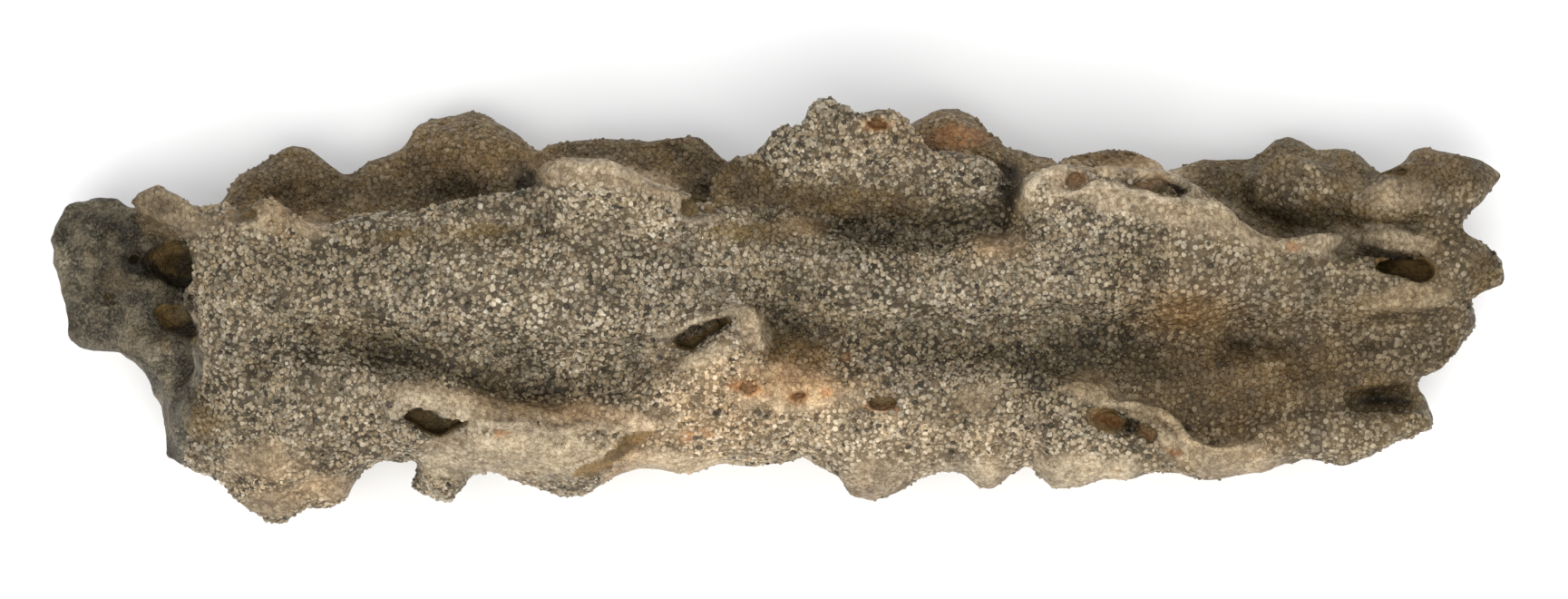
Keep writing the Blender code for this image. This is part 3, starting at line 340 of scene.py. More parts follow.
# Soft washes of dirt and painted shade, of paler sand and painted light, of iron stain and of
# streaks in the melt, seen from above. Each is x, y, its two half widths, its lean in degrees and its
# strength.
WASHES = {
    # Dirt and painted shade, mostly in the valleys and beside the crests and lobes.
    "dirt": (
        (7.0, 2.9, 1.2, 0.9, 0, 0.45), (6.8, -0.6, 1.3, 0.9, 0, 0.4), (4.4, 2.9, 0.8, 0.7, 0, 0.6),
        (3.0, 0.75, 0.8, 0.6, 0, 0.5), (1.5, 5.2, 2.5, 0.9, 10, 0.35), (7.3, -3.0, 0.6, 1.8, 8, 0.35),
        (8.2, -4.9, 1.1, 0.7, 0, 0.5), (11.7, -3.2, 1.4, 0.7, 0, 0.45), (15.8, -1.3, 2.2, 0.7, -5, 0.5),
        (19.5, -2.3, 2.8, 0.8, -15, 0.6), (24.3, -3.8, 2.6, 0.8, -8, 0.6), (28.5, -4.1, 2.4, 0.7, 5, 0.5),
        (31.0, -3.2, 1.5, 0.8, 0, 0.2), (15.0, 6.4, 4.5, 0.8, 5, 0.5), (20.5, 6.3, 3.5, 0.8, 3, 0.55),
        (26.4, 7.3, 0.7, 1.0, 0, 0.7), (25.0, 4.1, 3.0, 0.5, 6, 0.4), (19.5, 3.9, 2.5, 0.5, 0, 0.3),
        (37.3, 7.2, 3.0, 1.6, 0, 0.5), (41.0, 6.0, 3.4, 1.1, -8, 0.6), (48.5, 5.4, 4.5, 1.1, -5, 0.6),
        (52.8, 6.8, 0.6, 1.4, 0, 0.7), (46.9, 3.1, 1.6, 1.3, -40, 0.3), (40.0, 4.0, 3.0, 0.5, -10, 0.25),
        (41.0, 1.1, 2.4, 1.2, -15, 0.5), (41.0, -0.9, 2.6, 0.8, -12, 0.6), (45.5, -1.2, 2.5, 0.8, -10, 0.4),
        (50.5, -2.0, 4.0, 0.9, -6, 0.4), (55.8, -2.3, 3.5, 1.3, 0, 0.45), (50.2, -5.2, 1.6, 0.9, 0, 0.35),
        (54.5, -4.8, 1.2, 1.0, 0, 0.35), (59.9, 2.7, 2.0, 1.3, 0, 0.45), (58.0, -1.8, 2.5, 2.2, 0, 0.4),
        (66.5, -1.9, 3.0, 1.0, 0, 0.25), (64.0, -4.8, 2.8, 2.4, 0, 0.45), (70.5, -3.3, 2.6, 1.4, 0, 0.4),
        (60.5, -3.8, 2.2, 1.6, -25, 0.45), (66.8, 7.0, 3.5, 1.6, -5, 0.35),
        (67.5, 5.3, 3.0, 0.9, -10, 0.15), (58.5, 8.8, 3.8, 0.7, 0, 0.5),
        (64.5, 7.6, 1.8, 0.9, 0, 0.35), (76.0, 4.9, 2.6, 0.4, 0, 0.5), (73.8, 7.55, 1.6, 0.3, 0, 0.6),
        (79.3, 2.9, 0.9, 1.3, 0, 0.45), (78.2, 8.0, 1.2, 1.5, 0, 0.25),
        (74.8, -0.25, 2.8, 0.35, 3, 0.5), (73.6, -4.7, 2.2, 0.9, 0, 0.15), (74.0, -3.4, 1.6, 0.7, 0, 0.3),
        (6.0, 6.0, 1.9, 1.0, -15, 0.3),
        (3.9, 4.6, 1.5, 1.0, 0, 0.45), (5.6, 4.2, 1.0, 0.8, 0, 0.4), (1.0, -0.3, 0.8, 0.8, 0, 0.35),
        (2.3, 1.6, 0.9, 0.8, 0, 0.4), (74.2, -6.0, 2.0, 0.8, 0, 0.2), (4.0, 1.5, 3.5, 4.0, 0, 0.4),
        (35.5, 8.3, 3.0, 1.2, -5, 0.35),
        (47.5, 4.4, 6.0, 1.4, -5, 0.3), (77.0, 7.2, 3.2, 2.0, 0, 0.3), (70.0, 6.7, 5.0, 2.5, 0, 0.25),
        (55.0, -2.9, 5.0, 1.2, 0, 0.3), (25.5, -4.9, 4.0, 0.8, -8, 0.3), (14.0, 7.9, 5.0, 1.2, 0, 0.42),
        (23.0, 8.6, 4.5, 1.5, 0, 0.12), (66.0, -3.6, 9.0, 3.2, 0, 0.25), (58.0, 9.0, 4.0, 0.8, 0, 0.2),
        (76.5, -1.5, 3.5, 1.5, 0, 0.2), (5.5, -3.5, 1.5, 1.5, 0, 0.15), (43.5, 9.8, 2.5, 1.2, 0, 0.15),
        (75.5, 1.5, 5.0, 3.5, 0, 0.40), (32.0, 9.0, 5.0, 0.8, 0, 0.5), (13.0, 2.5, 6.0, 3.0, 0, 0.26),
        (12.5, -7.5, 6.0, 3.5, 0, 0.12), (50.0, 9.6, 3.5, 1.6, 0, 0.12),
    ),
    # Paler sand and painted light.
    "pale": (
        (2.7, 3.8, 1.2, 1.0, 0, 0.35), (5.4, 1.5, 2.0, 0.6, -15, 0.3), (4.8, -2.2, 1.4, 1.0, -20, 0.25),
        (6.6, -4.4, 0.8, 1.2, 0, 0.3),
        (30.3, 6.9, 3.8, 1.2, -5, 0.6), (33.0, 5.2, 2.0, 1.2, 0, 0.35), (26.0, 1.8, 3.5, 1.8, 0, 0.3),
        (37.3, 3.9, 1.8, 1.2, 0, 0.4), (27.2, -7.9, 3.8, 1.6, 0, 0.48), (20.6, -4.9, 2.0, 0.5, 0, 0.35),
        (22.0, -8.5, 1.6, 1.0, 0, 0.3), (35.6, -3.4, 2.8, 2.4, 30, 0.9), (38.4, -1.3, 0.9, 1.4, 0, 0.6),
        (35.2, -6.0, 2.6, 1.8, 0, 0.7), (41.0, -4.6, 3.4, 0.9, 0, 0.7), (42.0, -6.8, 6.0, 1.5, 0, 0.8),
        (47.0, -6.8, 6.0, 1.8, 0, 0.35),
        (37.0, -7.8, 4.5, 1.0, 0, 0.5), (34.8, -8.7, 3.0, 0.7, 0, 0.5), (52.0, -7.8, 4.0, 1.5, 0, 0.5),
        (46.0, -9.5, 2.0, 0.8, 0, 0.25), (52.1, 3.4, 1.8, 0.9, 0, 0.35), (49.0, 0.8, 3.5, 1.0, -10, 0.2),
        (54.8, 6.4, 1.8, 1.8, 0, 0.55), (60.0, 5.9, 6.0, 1.1, -10, 0.5), (63.5, 4.2, 4.0, 1.0, -10, 0.35),
        (66.0, 4.6, 2.0, 0.8, -40, 0.3), (57.5, -8.5, 3.5, 1.3, 0, 0.5), (65.4, -8.2, 3.0, 0.8, 0, 0.35),
        (62.0, -6.8, 2.4, 0.8, -35, 0.5), (57.7, -4.3, 1.6, 0.8, 0, 0.35), (14.3, -9.6, 3.5, 1.6, -5, 0.4),
        (14.5, -5.8, 4.5, 1.6, 0, 0.15), (10.5, -7.5, 1.5, 1.2, 0, 0.2), (69.7, 3.8, 1.7, 0.7, 0, 0.5),
        (74.5, 6.3, 3.0, 0.7, 0, 0.35), (75.2, 3.8, 2.2, 0.7, 0, 0.25), (73.2, 0.8, 2.2, 0.7, 5, 0.4),
        (11.5, 3.5, 3.0, 1.8, 0, 0.2), (12.0, 4.9, 0.8, 0.8, 0, 0.4), (44.5, 9.0, 2.5, 1.5, 0, 0.2),
        (50.0, 10.9, 2.6, 0.5, 0, 0.4), (70.5, -7.0, 2.5, 1.0, 0, 0.2), (72.6, 4.0, 1.7, 0.9, 0, 0.3),
        (39.0, -6.3, 6.5, 1.8, 0, 0.5), (36.5, -7.6, 3.5, 0.9, 0, 0.3),
    ),
    "iron": (
        (41.3, -4.0, 3.6, 1.3, -5, 0.9), (41.8, -2.4, 2.2, 0.9, 0, 0.6), (27.2, -5.2, 4.2, 0.8, -8, 0.8),
        (62.3, -0.2, 2.8, 1.7, 0, 1.0), (64.5, -5.0, 3.5, 3.0, 0, 0.6), (71.0, -3.0, 3.0, 1.5, 0, 0.5),
        (50.0, 9.4, 2.4, 0.9, 0, 0.4), (58.5, 8.6, 2.5, 0.8, 0, 0.9), (13.5, -9.3, 3.5, 1.8, 0, 0.35),
        (23.0, 8.5, 4.5, 1.6, 0, 0.4), (41.6, 4.7, 1.6, 0.7, 0, 0.6), (3.0, -0.5, 1.5, 0.8, 0, 0.2),
        (2.1, 3.1, 0.7, 0.6, 0, 0.6), (57.2, -4.0, 1.8, 0.9, 0, 0.6), (74.8, 0.0, 2.5, 0.8, 5, 0.6),
        (35.0, 7.5, 3.5, 1.2, 0, 0.3), (12.5, 6.0, 3.0, 1.2, 0, 0.5), (52.0, 3.4, 1.8, 0.8, 0, 0.5),
        (45.6, 10.3, 0.9, 0.4, 0, 0.8), (77.0, 3.6, 2.0, 1.0, 0, 0.3), (32.0, -7.8, 2.0, 0.8, 35, 0.5),
        (37.0, -5.5, 4.5, 3.0, 0, 0.4), (50.0, -7.0, 6.0, 2.0, 0, 0.2),
        (60.0, 8.6, 3.0, 0.9, 0, 0.5), (48.5, 9.4, 4.0, 1.2, 0, 0.4), (57.0, -8.7, 3.0, 1.2, 0, 0.15),
        (27.2, -8.0, 4.0, 1.6, 0, 0.2), (34.6, -8.4, 3.2, 0.8, 0, 0.1), (65.5, -8.0, 3.0, 1.0, 0, 0.15),
    ),
    "streaked": (
        (65.5, -3.6, 8.0, 2.8, 0, 1.0), (62.8, -0.1, 2.6, 1.2, 0, 0.6),
    ),
}
# The air above a spot is felt with rays, which start a little off the glass.
RAYS = 26
REACH = 7.0
RAY_START = 0.2
GRAZING = 0.1
GOLDEN_ANGLE = 2.39996
# The front wall's broken edge: how far the bare glass reaches, at each y.
GLASS_EDGE = ((-12, 6.5), (-6.5, 7.6), (-4, 8.3), (-2.7, 8.45), (-1.8, 8.25), (-0.9, 8.1), (0, 7.55),
              (1, 7.55), (2.1, 7.9), (3.2, 7.7), (4, 5.2), (5, 4.6), (7, 4.4))
# Where the looks change: the bore, hollows below their mouths, the back wall, the underside, the feet, which
# are bare, and the stretch towards the right end, which melted most.
BORE_Y, BORE_Z = 1.0, 5.8
BORE_HALF_WIDTH, BORE_HALF_HEIGHT = 3.1, 2.3
GLASSY_FROM = 6.0
HOLLOW_BELOW = 0.35
# How far below a hollow's rim its floor starts to be painted paler, and over what depth.
PALER_BELOW, PALER_OVER = 1.3, 0.8
BACK_FROM, BACK_BELOW = 3.4, 7.6
UNDER_BELOW = 4.6
FOOT = 0.45
MELTED_FROM, MELTED_OVER = 58.0, 7.0
# Smooth noise: each wave is its height, its size and its seed.
RAGGED = (0.35, 1.1, 0), (0.25, 0.4, 1)
SAND_PATCHES = (1.5, 2.2, 2), (0.7, 0.9, 10)
CRUST_HUMPS = (0.09, 0.42, 3), (0.14, 0.9, 4)
MELT_HUMPS = (0.08, 0.7, 5), (0.12, 1.5, 6)
WIDE_HUMPS = ((0.22, 2.3, 9),)
END_HUMPS = (0.12, 0.7, 11), (0.2, 1.5, 12)
MOTTLED = (0.45, 1.5, 7), (0.25, 0.7, 8)


def vertex_array(mesh, name):
    """The vertices' places or normals."""
    found = np.empty(len(mesh.vertices) * 3)
    mesh.vertices.foreach_get(name, found)
    return found.reshape(-1, 3)


def humps(points, waves):
    """The height of smooth noise at each point, all its waves added up."""
    found = np.zeros(len(points))
    for height, size, seed in waves:
        shift = Vector((seed * 7.3, seed * 3.1, seed * 5.7))
        found += height * np.array([noise.noise(Vector(point) / size + shift) for point in points])
    return found


def share_of(points, x, y, half_x, half_y, lean):
    """How far along and across a leaning spot each point lies, as shares of its half widths."""
    turn = math.radians(lean)
    off_x, off_y = points[:, 0] - x, points[:, 1] - y
    along = off_x * math.cos(turn) + off_y * math.sin(turn)
    across = off_y * math.cos(turn) - off_x * math.sin(turn)
    return along / half_x, across / half_y


def spots_at(points, spots, ragged):
    """How much each point lies in any of the spots, 0 to 1, with ragged edges."""
    found = np.zeros(len(points))
    for spot in spots:
        away = np.hypot(*share_of(points, *spot)) + ragged
        found = np.maximum(found, np.clip((1.25 - away) / 0.4, 0, 1))
    return found


def washed(points, washes):
    """How strongly the soft washes cover each point, 0 to 1."""
    clear = np.ones(len(points))
    for *spot, strength in washes:
        along, across = share_of(points, *spot)
        clear *= 1 - strength * np.exp(-(along**2) - across**2)
    return 1 - clear


def on_strand(points, path):
    """How much each point lies on the strand, 0 to 1, seen from above."""
    found = np.zeros(len(points))
    for (x0, y0, _, wide, _), (x1, y1, *_) in zip(path, path[1:]):
        span = np.array((x1 - x0, y1 - y0))
        off = points[:, :2] - (x0, y0)
        share = np.clip(off @ span / (span @ span), 0, 1)
        away = np.linalg.norm(off - share[:, None] * span, axis=1)
        found = np.maximum(found, np.clip((min(wide, 1.2) * 0.75 - away) / 0.12, 0, 1))
    return found


def inside(points, outline):
    """Which points lie inside the outline, seen from above."""
    found = np.zeros(len(points), bool)
    ends = np.array(outline)
    for (x0, y0), (x1, y1) in zip(ends, np.roll(ends, -1, axis=0)):
        spans = (y0 > points[:, 1]) != (y1 > points[:, 1])
        crossing = x0 + (x1 - x0) * (points[:, 1] - y0) / ((y1 - y0) or 1)
        found ^= spans & (points[:, 0] < crossing)
    return found


def eased(mesh, values, rounds):
    """The vertices' values, averaged with their neighbours' that many times."""
    ends = np.empty(len(mesh.edges) * 2, np.int32)
    mesh.edges.foreach_get("vertices", ends)
    ends = ends.reshape(-1, 2)
    there, here = np.vstack((ends, ends[:, ::-1])).T
    count = len(mesh.vertices)
    neighbours = np.bincount(here, minlength=count)
    for _ in range(rounds):
        values = (values + np.bincount(here, values[there], count) / neighbours) / 2
    return values


def openness(mesh):
    """How much of the air above each vertex is free of glass within REACH, 0 to 1."""
    surface = BVHTree.FromPolygons([v.co for v in mesh.vertices], [f.vertices for f in mesh.polygons])
    rays = []
    for number in range(RAYS):
        z = 1 - (2 * number + 1) / RAYS
        turn = number * GOLDEN_ANGLE
        wide = math.sqrt(1 - z * z)
        rays.append(Vector((wide * math.cos(turn), wide * math.sin(turn), z)))
    found = []
    for vertex in mesh.vertices:
        start = vertex.co + vertex.normal * (RAY_START * MM)
        free = total = 0
        for ray in rays:
            share = ray.dot(vertex.normal)
            if share > GRAZING:
                total += share
                if surface.ray_cast(start, ray, REACH * MM)[0] is None:
                    free += share
        found.append(free / total)
    return np.array(found)


at = vertex_array(glass.data, "co") / MM + (LENGTH / 2, 0, 0)
facing = vertex_array(glass.data, "normal")
x, y, z = at.T
ragged = humps(at, RAGGED)
tops = np.array([top(*spot) for spot in at[:, :2]])

# Where the glass has each look.
weights = {name: spots_at(at, spots, ragged) for name, spots in SPOTS.items()}
edge_y, edge_x = np.array(GLASS_EDGE).T
weights["bare_end"] = np.clip((np.interp(y, edge_y, edge_x) + 0.3 * ragged - x) / 0.15 + 0.5, 0, 1)
bore = np.hypot((y - BORE_Y) / BORE_HALF_WIDTH, (z - BORE_Z) / BORE_HALF_HEIGHT) + 0.1 * ragged < 1
weights["hollow"] = (bore & (tops > z + 1) & (x > GLASSY_FROM)).astype(float)
hollow_shade = np.full(len(at), 0.95)
for name, (outline, *_) in PITS.items():
    level = max(top(x, y) for x, y in outline)
    deep = inside(at, outline) & (z < level - HOLLOW_BELOW)
    weights["hollow"][deep] = 1
    # Painted light on the deep floors of some hollows.
    lit = np.clip((level - PALER_BELOW - z[deep]) / PALER_OVER, 0, 1)
    hollow_shade[deep] += PAINTED_LIGHT_FLOORS.get(name, 0) * lit
lips = np.maximum.reduce([on_strand(at, path) for path in BEADS.values()])
weights["lip"] = lips * (z > tops - 0.5) * np.clip(0.75 + 1.5 * ragged, 0, 1)
back = np.clip((y - BACK_FROM) / 0.6, 0, 1) * np.clip((BACK_BELOW + 0.6 * ragged - z) / 0.6, 0, 1)
under = np.clip((UNDER_BELOW + ragged - z) / 1.2, 0, 1) * 0.6
weights["brown"] = np.maximum(weights["brown"], np.maximum(back, under))
wander = at + 1.2 * ragged[:, None]
for name, washes in WASHES.items():
    weights[name] = washed(wander, washes)
weights["brown"] = np.maximum(weights["brown"], np.clip(1.5 * weights["streaked"] - 0.3, 0, 1))

# Where the sand sticks: on bare glass little does, and towards the right end more of it has melted.
bare = np.maximum.reduce([
    weights["tan"] * 0.85, weights["cream"] * 0.75, weights["brown"] * 0.65, weights["rust"] * 0.7,
    weights["bare_end"], weights["hollow"], weights["grime"] * 0.5, weights["lip"], back * 0.75,
])
rough = np.clip(1 - bare, 0, 1)
patchy = np.clip(0.62 + humps(at, SAND_PATCHES), 0, 1)
melted = np.clip((x + 1.5 * ragged - MELTED_FROM) / MELTED_OVER, 0, 1)
weights["sand"] = rough * (0.3 + 0.7 * patchy) * (z > FOOT) * np.clip(0.8 + facing[:, 2], 0.35, 1)
weights["sand"] *= 1 - 0.6 * melted
weights["brown"] = np.maximum(weights["brown"], 0.35 * melted * (0.3 + 1.2 * patchy))

# The glass rises and sinks a little all over, most in its crust.
lift = rough * humps(at, CRUST_HUMPS)
lift += (1 - rough) * humps(at, MELT_HUMPS) + humps(at, WIDE_HUMPS)
lift += weights["bare_end"] * humps(at, END_HUMPS)
lift *= np.clip(z / 0.5, 0, 1)
rise = (0.4 * weights["pale"] - 0.9 * weights["dirt"]) * np.clip(facing[:, 2], 0, 1) * (z > tops - 1)
moved = at + facing * lift[:, None] + rise[:, None] * (0, 0, 1)
glass.data.vertices.foreach_set("co", ((moved - (LENGTH / 2, 0, 0)) * MM).ravel())
glass.data.update()

# Painted shade: the glass is darkened where its own folds hide the air above it, more under the washes
# of dirt and shade, and painted lighter under the pale washes. What stands out is worn pale.
air = eased(glass.data, openness(glass.data), 3)
shade = 0.42 + 0.6 * np.clip((air - 0.25) / 0.6, 0, 1)
shade *= (1 - 0.85 * weights["dirt"]) * (1 + 0.62 * weights["pale"]) * (1 + humps(at, MOTTLED))
# Painted shade in the hollows under the washes of dirt and shade.
hollow_shade *= 1 - 0.6 * weights["dirt"]
weights["shade"] = np.where(weights["hollow"] > 0.5, hollow_shade, shade)
smooth = np.array([eased(glass.data, column, 14) for column in at.T]).T
weights["bulge"] = np.sum((at - smooth) * facing, axis=1)
for name, values in weights.items():
    glass.data.attributes.new(name, "FLOAT", "POINT").data.foreach_set("value", values)
glass.data.shade_smooth()


class Tree:
    """A node tree. One method adds every node: its type, its settings, then its sockets' values or links."""

    def __init__(self, tree):
        self.tree = tree

    def make(self, kind, settings=None, sockets=None, output=0):
        node = self.tree.nodes.new(kind)
        for name, value in (settings or {}).items():
            if name == "stops":
                self.stops(node.color_ramp, value)
            else:
                setattr(node, name, value)
        for name, value in (sockets or {}).items():
            live = [socket for socket in node.inputs if socket.enabled]
            socket = live[name] if isinstance(name, int) else next(s for s in live if s.name == name)
            if isinstance(value, Wire):
                self.tree.links.new(value.socket, socket)
            else:
                socket.default_value = value
        live = [socket for socket in node.outputs if socket.enabled]
        wanted = live[output] if isinstance(output, int) else next(s for s in live if s.name == output)
        return Wire(self, wanted)

    def stops(self, ramp, stops):
        """Sets a colour ramp's stops."""
        while len(ramp.elements) < len(stops):
            ramp.elements.new(1)
        for element, (position, colour) in zip(ramp.elements, stops):
            element.position = position
            element.color = (*colour, 1)

    def attribute(self, name):
        """One of the numbers kept on the glass and the grains."""
        return self.make("ShaderNodeAttribute", {"attribute_name": name}, output="Fac")

    def mix(self, share, first, second):
        """The second colour over the first."""
        first, second = (side if isinstance(side, Wire) else (*side, 1) for side in (first, second))
        return self.make("ShaderNodeMix", {"data_type": "RGBA"}, {"Factor": share, "A": first, "B": second})

    def fleck(self, colour, *lots):
        """Flecks over a colour. Each lot is a noise, where it starts and is full, its cover and colour."""
        for pattern, start, full, cover, fleck in lots:
            colour = self.mix(pattern.ramp(start, full) * cover, colour, fleck)
        return colour

    def vector(self, operation, *values):
        return self.make("ShaderNodeVectorMath", {"operation": operation}, dict(enumerate(values)))

    def tinted_and_shaded(self, colour):
        """The colour tinted by iron, by dirt and painted shade, and darkened by the painted shade."""
        tint = self.mix(self.attribute("iron"), PLAIN_TINT, IRON_TINT)
        tint = self.mix(self.attribute("dirt"), tint, DIRT_AND_SHADE_TINT)
        return self.vector("SCALE", self.vector("MULTIPLY", colour, tint), self.attribute("shade"))

    def feed(self, shader, name, wire):
        """Links a wire to one of the shader's sockets."""
        self.tree.links.new(wire.socket, shader.inputs[name])

    def noise(self, place, size, detail=2.0, roughness=0.5):
        """Smooth noise of 0 to 1 with humps of that size in millimetres."""
        sockets = {"Vector": place, "Scale": 1 / (size * MM), "Detail": detail, "Roughness": roughness}
        return self.make("ShaderNodeTexNoise", {}, sockets)


class Wire:
    """A node's output. Arithmetic on it adds Math nodes."""

    def __init__(self, tree, socket):
        self.tree = tree
        self.socket = socket

    def beside(self, name):
        """Another output of the same node."""
        return Wire(self.tree, self.socket.node.outputs[name])

    def math(self, operation, *values):
        return self.tree.make("ShaderNodeMath", {"operation": operation}, dict(enumerate(values)))

    def __add__(self, other):
        return self.math("ADD", self, other)

    def __sub__(self, other):
        return self.math("SUBTRACT", self, other)

    def __mul__(self, other):
        return self.math("MULTIPLY", self, other)

    def __truediv__(self, other):
        return self.math("DIVIDE", self, other)

    def __rsub__(self, other):
        return self.math("SUBTRACT", other, self)

    def __pow__(self, other):
        return self.math("POWER", self, other)

    def floor(self):
        return self.math("FLOOR", self)

    __radd__ = __add__
    __rmul__ = __mul__

    def ramp(self, low, high):
        """0 at low, 1 at high and smooth between."""
        sockets = {"Value": self, "From Min": low, "From Max": high}
        return self.tree.make("ShaderNodeMapRange", {"interpolation_type": "SMOOTHSTEP"}, sockets)


def material(name):
    """A new material, its tree and its shader."""
    made = bpy.data.materials.new(name)
    made.use_nodes = True
    tree = Tree(made.node_tree)
    return made, tree, made.node_tree.nodes["Principled BSDF"]


# The melt's colours, from their darkest to their palest where there are two.
MELTED_GRAINS = (
    (0.0, (0.10, 0.080, 0.050)), (0.25, (0.21, 0.170, 0.115)), (0.5, (0.29, 0.245, 0.18)),
    (0.75, (0.38, 0.33, 0.255)), (1.0, (0.52, 0.47, 0.39)),
)
# Between the grains: dark glass with painted shade, lighter under the pale washes, which hold painted light.
SHADED_GAPS = (0.042, 0.033, 0.020), (0.105, 0.083, 0.053)
PALE_GAP = 0.135, 0.105, 0.068
BROWN = (0.080, 0.052, 0.018), (0.155, 0.106, 0.042)
STREAK = 0.21, 0.155, 0.095
TAN = (0.19, 0.142, 0.092), (0.36, 0.29, 0.21)
CREAM = (0.25, 0.205, 0.145), (0.43, 0.375, 0.29)
LIP = (0.26, 0.21, 0.145), (0.50, 0.44, 0.35)
END = (0.040, 0.035, 0.024), (0.150, 0.132, 0.100)
HAIR_LINE = 0.34, 0.325, 0.28
RUST = (0.19, 0.090, 0.038), (0.31, 0.185, 0.095)
WORN_RIM = 0.40, 0.335, 0.245
OLIVE = (0.100, 0.073, 0.031), (0.240, 0.168, 0.080)
# Grime and painted shade in notches and pits.
GRIME_AND_SHADE = 0.03, 0.026, 0.018
PLAIN_TINT = 0.86, 0.82, 0.74
IRON_TINT = 1.0, 0.75, 0.50
# Dirt and painted shade tint the glass towards this.
DIRT_AND_SHADE_TINT = 0.97, 0.84, 0.56
MELTED_GRAIN = 0.33
STREAK_STRETCH = 1, 0.16, 0.4
BUMP_HEIGHT = 0.07

finish, tree, shader = material("fused sand")
spot = tree.make("ShaderNodeTexCoord", output="Object")
patch = tree.noise(spot, 3.4, 2)
blotch = tree.noise(spot, 1.3, 3)
fleck = tree.noise(spot, 0.35, 4, 0.6)
speck = tree.noise(spot, 0.16, 2)

# The crust: grains half melted into a dark glass, with painted shade in the gaps between them.
sockets = {"Vector": spot, "Scale": 1 / (MELTED_GRAIN * MM), "Randomness": 0.9}
away = tree.make("ShaderNodeTexVoronoi", {}, sockets, "Distance")
lot = tree.make("ShaderNodeSeparateColor", {}, {"Color": away.beside("Color")}, "Red")
grain = (1 - away.ramp(0.45, 0.60)) * (0.8 + 0.2 * tree.attribute("sand"))
gap = tree.mix(patch.ramp(0.35, 0.65), *SHADED_GAPS)
gap = tree.mix(tree.attribute("pale"), gap, PALE_GAP)
colour = tree.make("ShaderNodeValToRGB", {"stops": MELTED_GRAINS}, {"Fac": lot})
colour = tree.fleck(
    tree.mix(grain, gap, colour),
    (fleck, 0.54, 0.66, 0.5, (0.43, 0.37, 0.28)),
    (fleck, 0.45, 0.33, 0.6, (0.050, 0.040, 0.024)),
)

# Brown melt, streaked where it ran.
brown = tree.fleck(
    tree.mix(blotch.ramp(0.36, 0.66), *BROWN),
    (patch, 0.56, 0.72, 0.5, (0.18, 0.11, 0.05)),
    (fleck, 0.54, 0.70, 0.55, (0.26, 0.20, 0.12)),
    (fleck, 0.44, 0.32, 0.6, (0.045, 0.032, 0.015)),
)
streak = tree.noise(tree.vector("MULTIPLY", spot, STREAK_STRETCH), 0.45, 3)
brown = tree.mix(streak.ramp(0.45, 0.62) * tree.attribute("streaked") * 0.45, brown, STREAK)
brown = tree.fleck(
    brown,
    (speck, 0.52, 0.66, 0.75, (0.30, 0.22, 0.11)),
    (speck, 0.47, 0.33, 0.75, (0.035, 0.024, 0.010)),
)
colour = tree.mix(tree.attribute("brown") * (1 - 0.5 * grain), colour, brown)

# Bare shelves and lips, where the melt is pale and thin.
for name, tones in (("tan", TAN), ("cream", CREAM)):
    glaze = tree.mix(fleck.ramp(0.38, 0.62), *tones)
    colour = tree.mix(tree.attribute(name) * (0.85 - 0.35 * grain), colour, glaze)
lip = tree.mix(fleck.ramp(0.35, 0.65), *LIP)
colour = tree.mix(tree.attribute("lip") * 0.9, colour, lip)

# The glassy end, with a few hair-fine pale lines.
end = tree.fleck(
    tree.mix(blotch.ramp(0.40, 0.62), *END),
    (patch, 0.5, 0.66, 0.6, (0.140, 0.100, 0.058)),
    (fleck, 0.55, 0.66, 0.55, (0.25, 0.23, 0.185)),
    (fleck, 0.40, 0.28, 0.6, (0.022, 0.020, 0.012)),
)
hair_line = tree.noise(spot, 2.2, 1)
hair_line = (1 - hair_line.math("ABSOLUTE", hair_line - 0.5).ramp(0.0, 0.018)) * blotch.ramp(0.52, 0.60)
end = tree.fleck(
    tree.mix(hair_line * 0.55, end, HAIR_LINE),
    (speck, 0.52, 0.66, 0.5, (0.25, 0.225, 0.175)),
    (speck, 0.46, 0.32, 0.6, (0.018, 0.016, 0.010)),
)
colour = tree.mix(tree.attribute("bare_end"), colour, end)

# Rust, worn rims, the smooth olive melt of the hollows, and grime and painted shade in notches and pits.
rust = tree.mix(fleck.ramp(0.35, 0.65), *RUST)
colour = tree.mix(tree.attribute("rust") * 0.8, colour, rust)
colour = tree.mix(tree.attribute("bulge").ramp(0.10, 0.34) * 0.55, colour, WORN_RIM)
olive = tree.mix(blotch.ramp(0.38, 0.62), *OLIVE)
colour = tree.mix(tree.attribute("hollow") * (1 - 0.8 * tree.attribute("rust")), colour, olive)
colour = tree.mix(tree.attribute("grime") * 0.8, colour, GRIME_AND_SHADE)
colour = tree.fleck(colour, (speck, 0.58, 0.75, 0.3, (0.05, 0.042, 0.03)))
# The tints and the painted shade go on last.
tree.feed(shader, "Base Color", tree.tinted_and_shaded(colour))
tree.feed(shader, "Roughness", 0.42 + 0.3 * fleck)
shader.inputs["Specular IOR Level"].default_value = 0.25
height = fleck + 0.5 * speck + 1.5 * grain
sockets = {"Strength": 0.8, "Distance": BUMP_HEIGHT * MM, "Height": height}
tree.feed(shader, "Normal", tree.make("ShaderNodeBump", {}, sockets))
glass.data.materials.clear()
glass.data.materials.append(finish)
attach(glass, BODY)
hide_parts(NODE)

# Sand: grains of the dune that stuck to the melt while it set. Most are quartz, milky, clear or
# stained by iron, and a few are dark heavy minerals. The heat rounded them and sank them half in.
GRAIN_SPACING = 0.12
GRAINS_PER_MM2 = 44
GRAIN_RADIUS = 0.10, 0.205
FEW_LARGE = 2.2
GRAIN_STRETCH = 0.72, 1.2
GRAIN_RISE = -0.16, -0.02
RISE_ON_FLATS = 0.05
FULL_TURN = 6.28
WEAR, WEAR_SIZE = 0.2, 0.22
UV_CELLS = 100
CELL_FILLED = 0.9
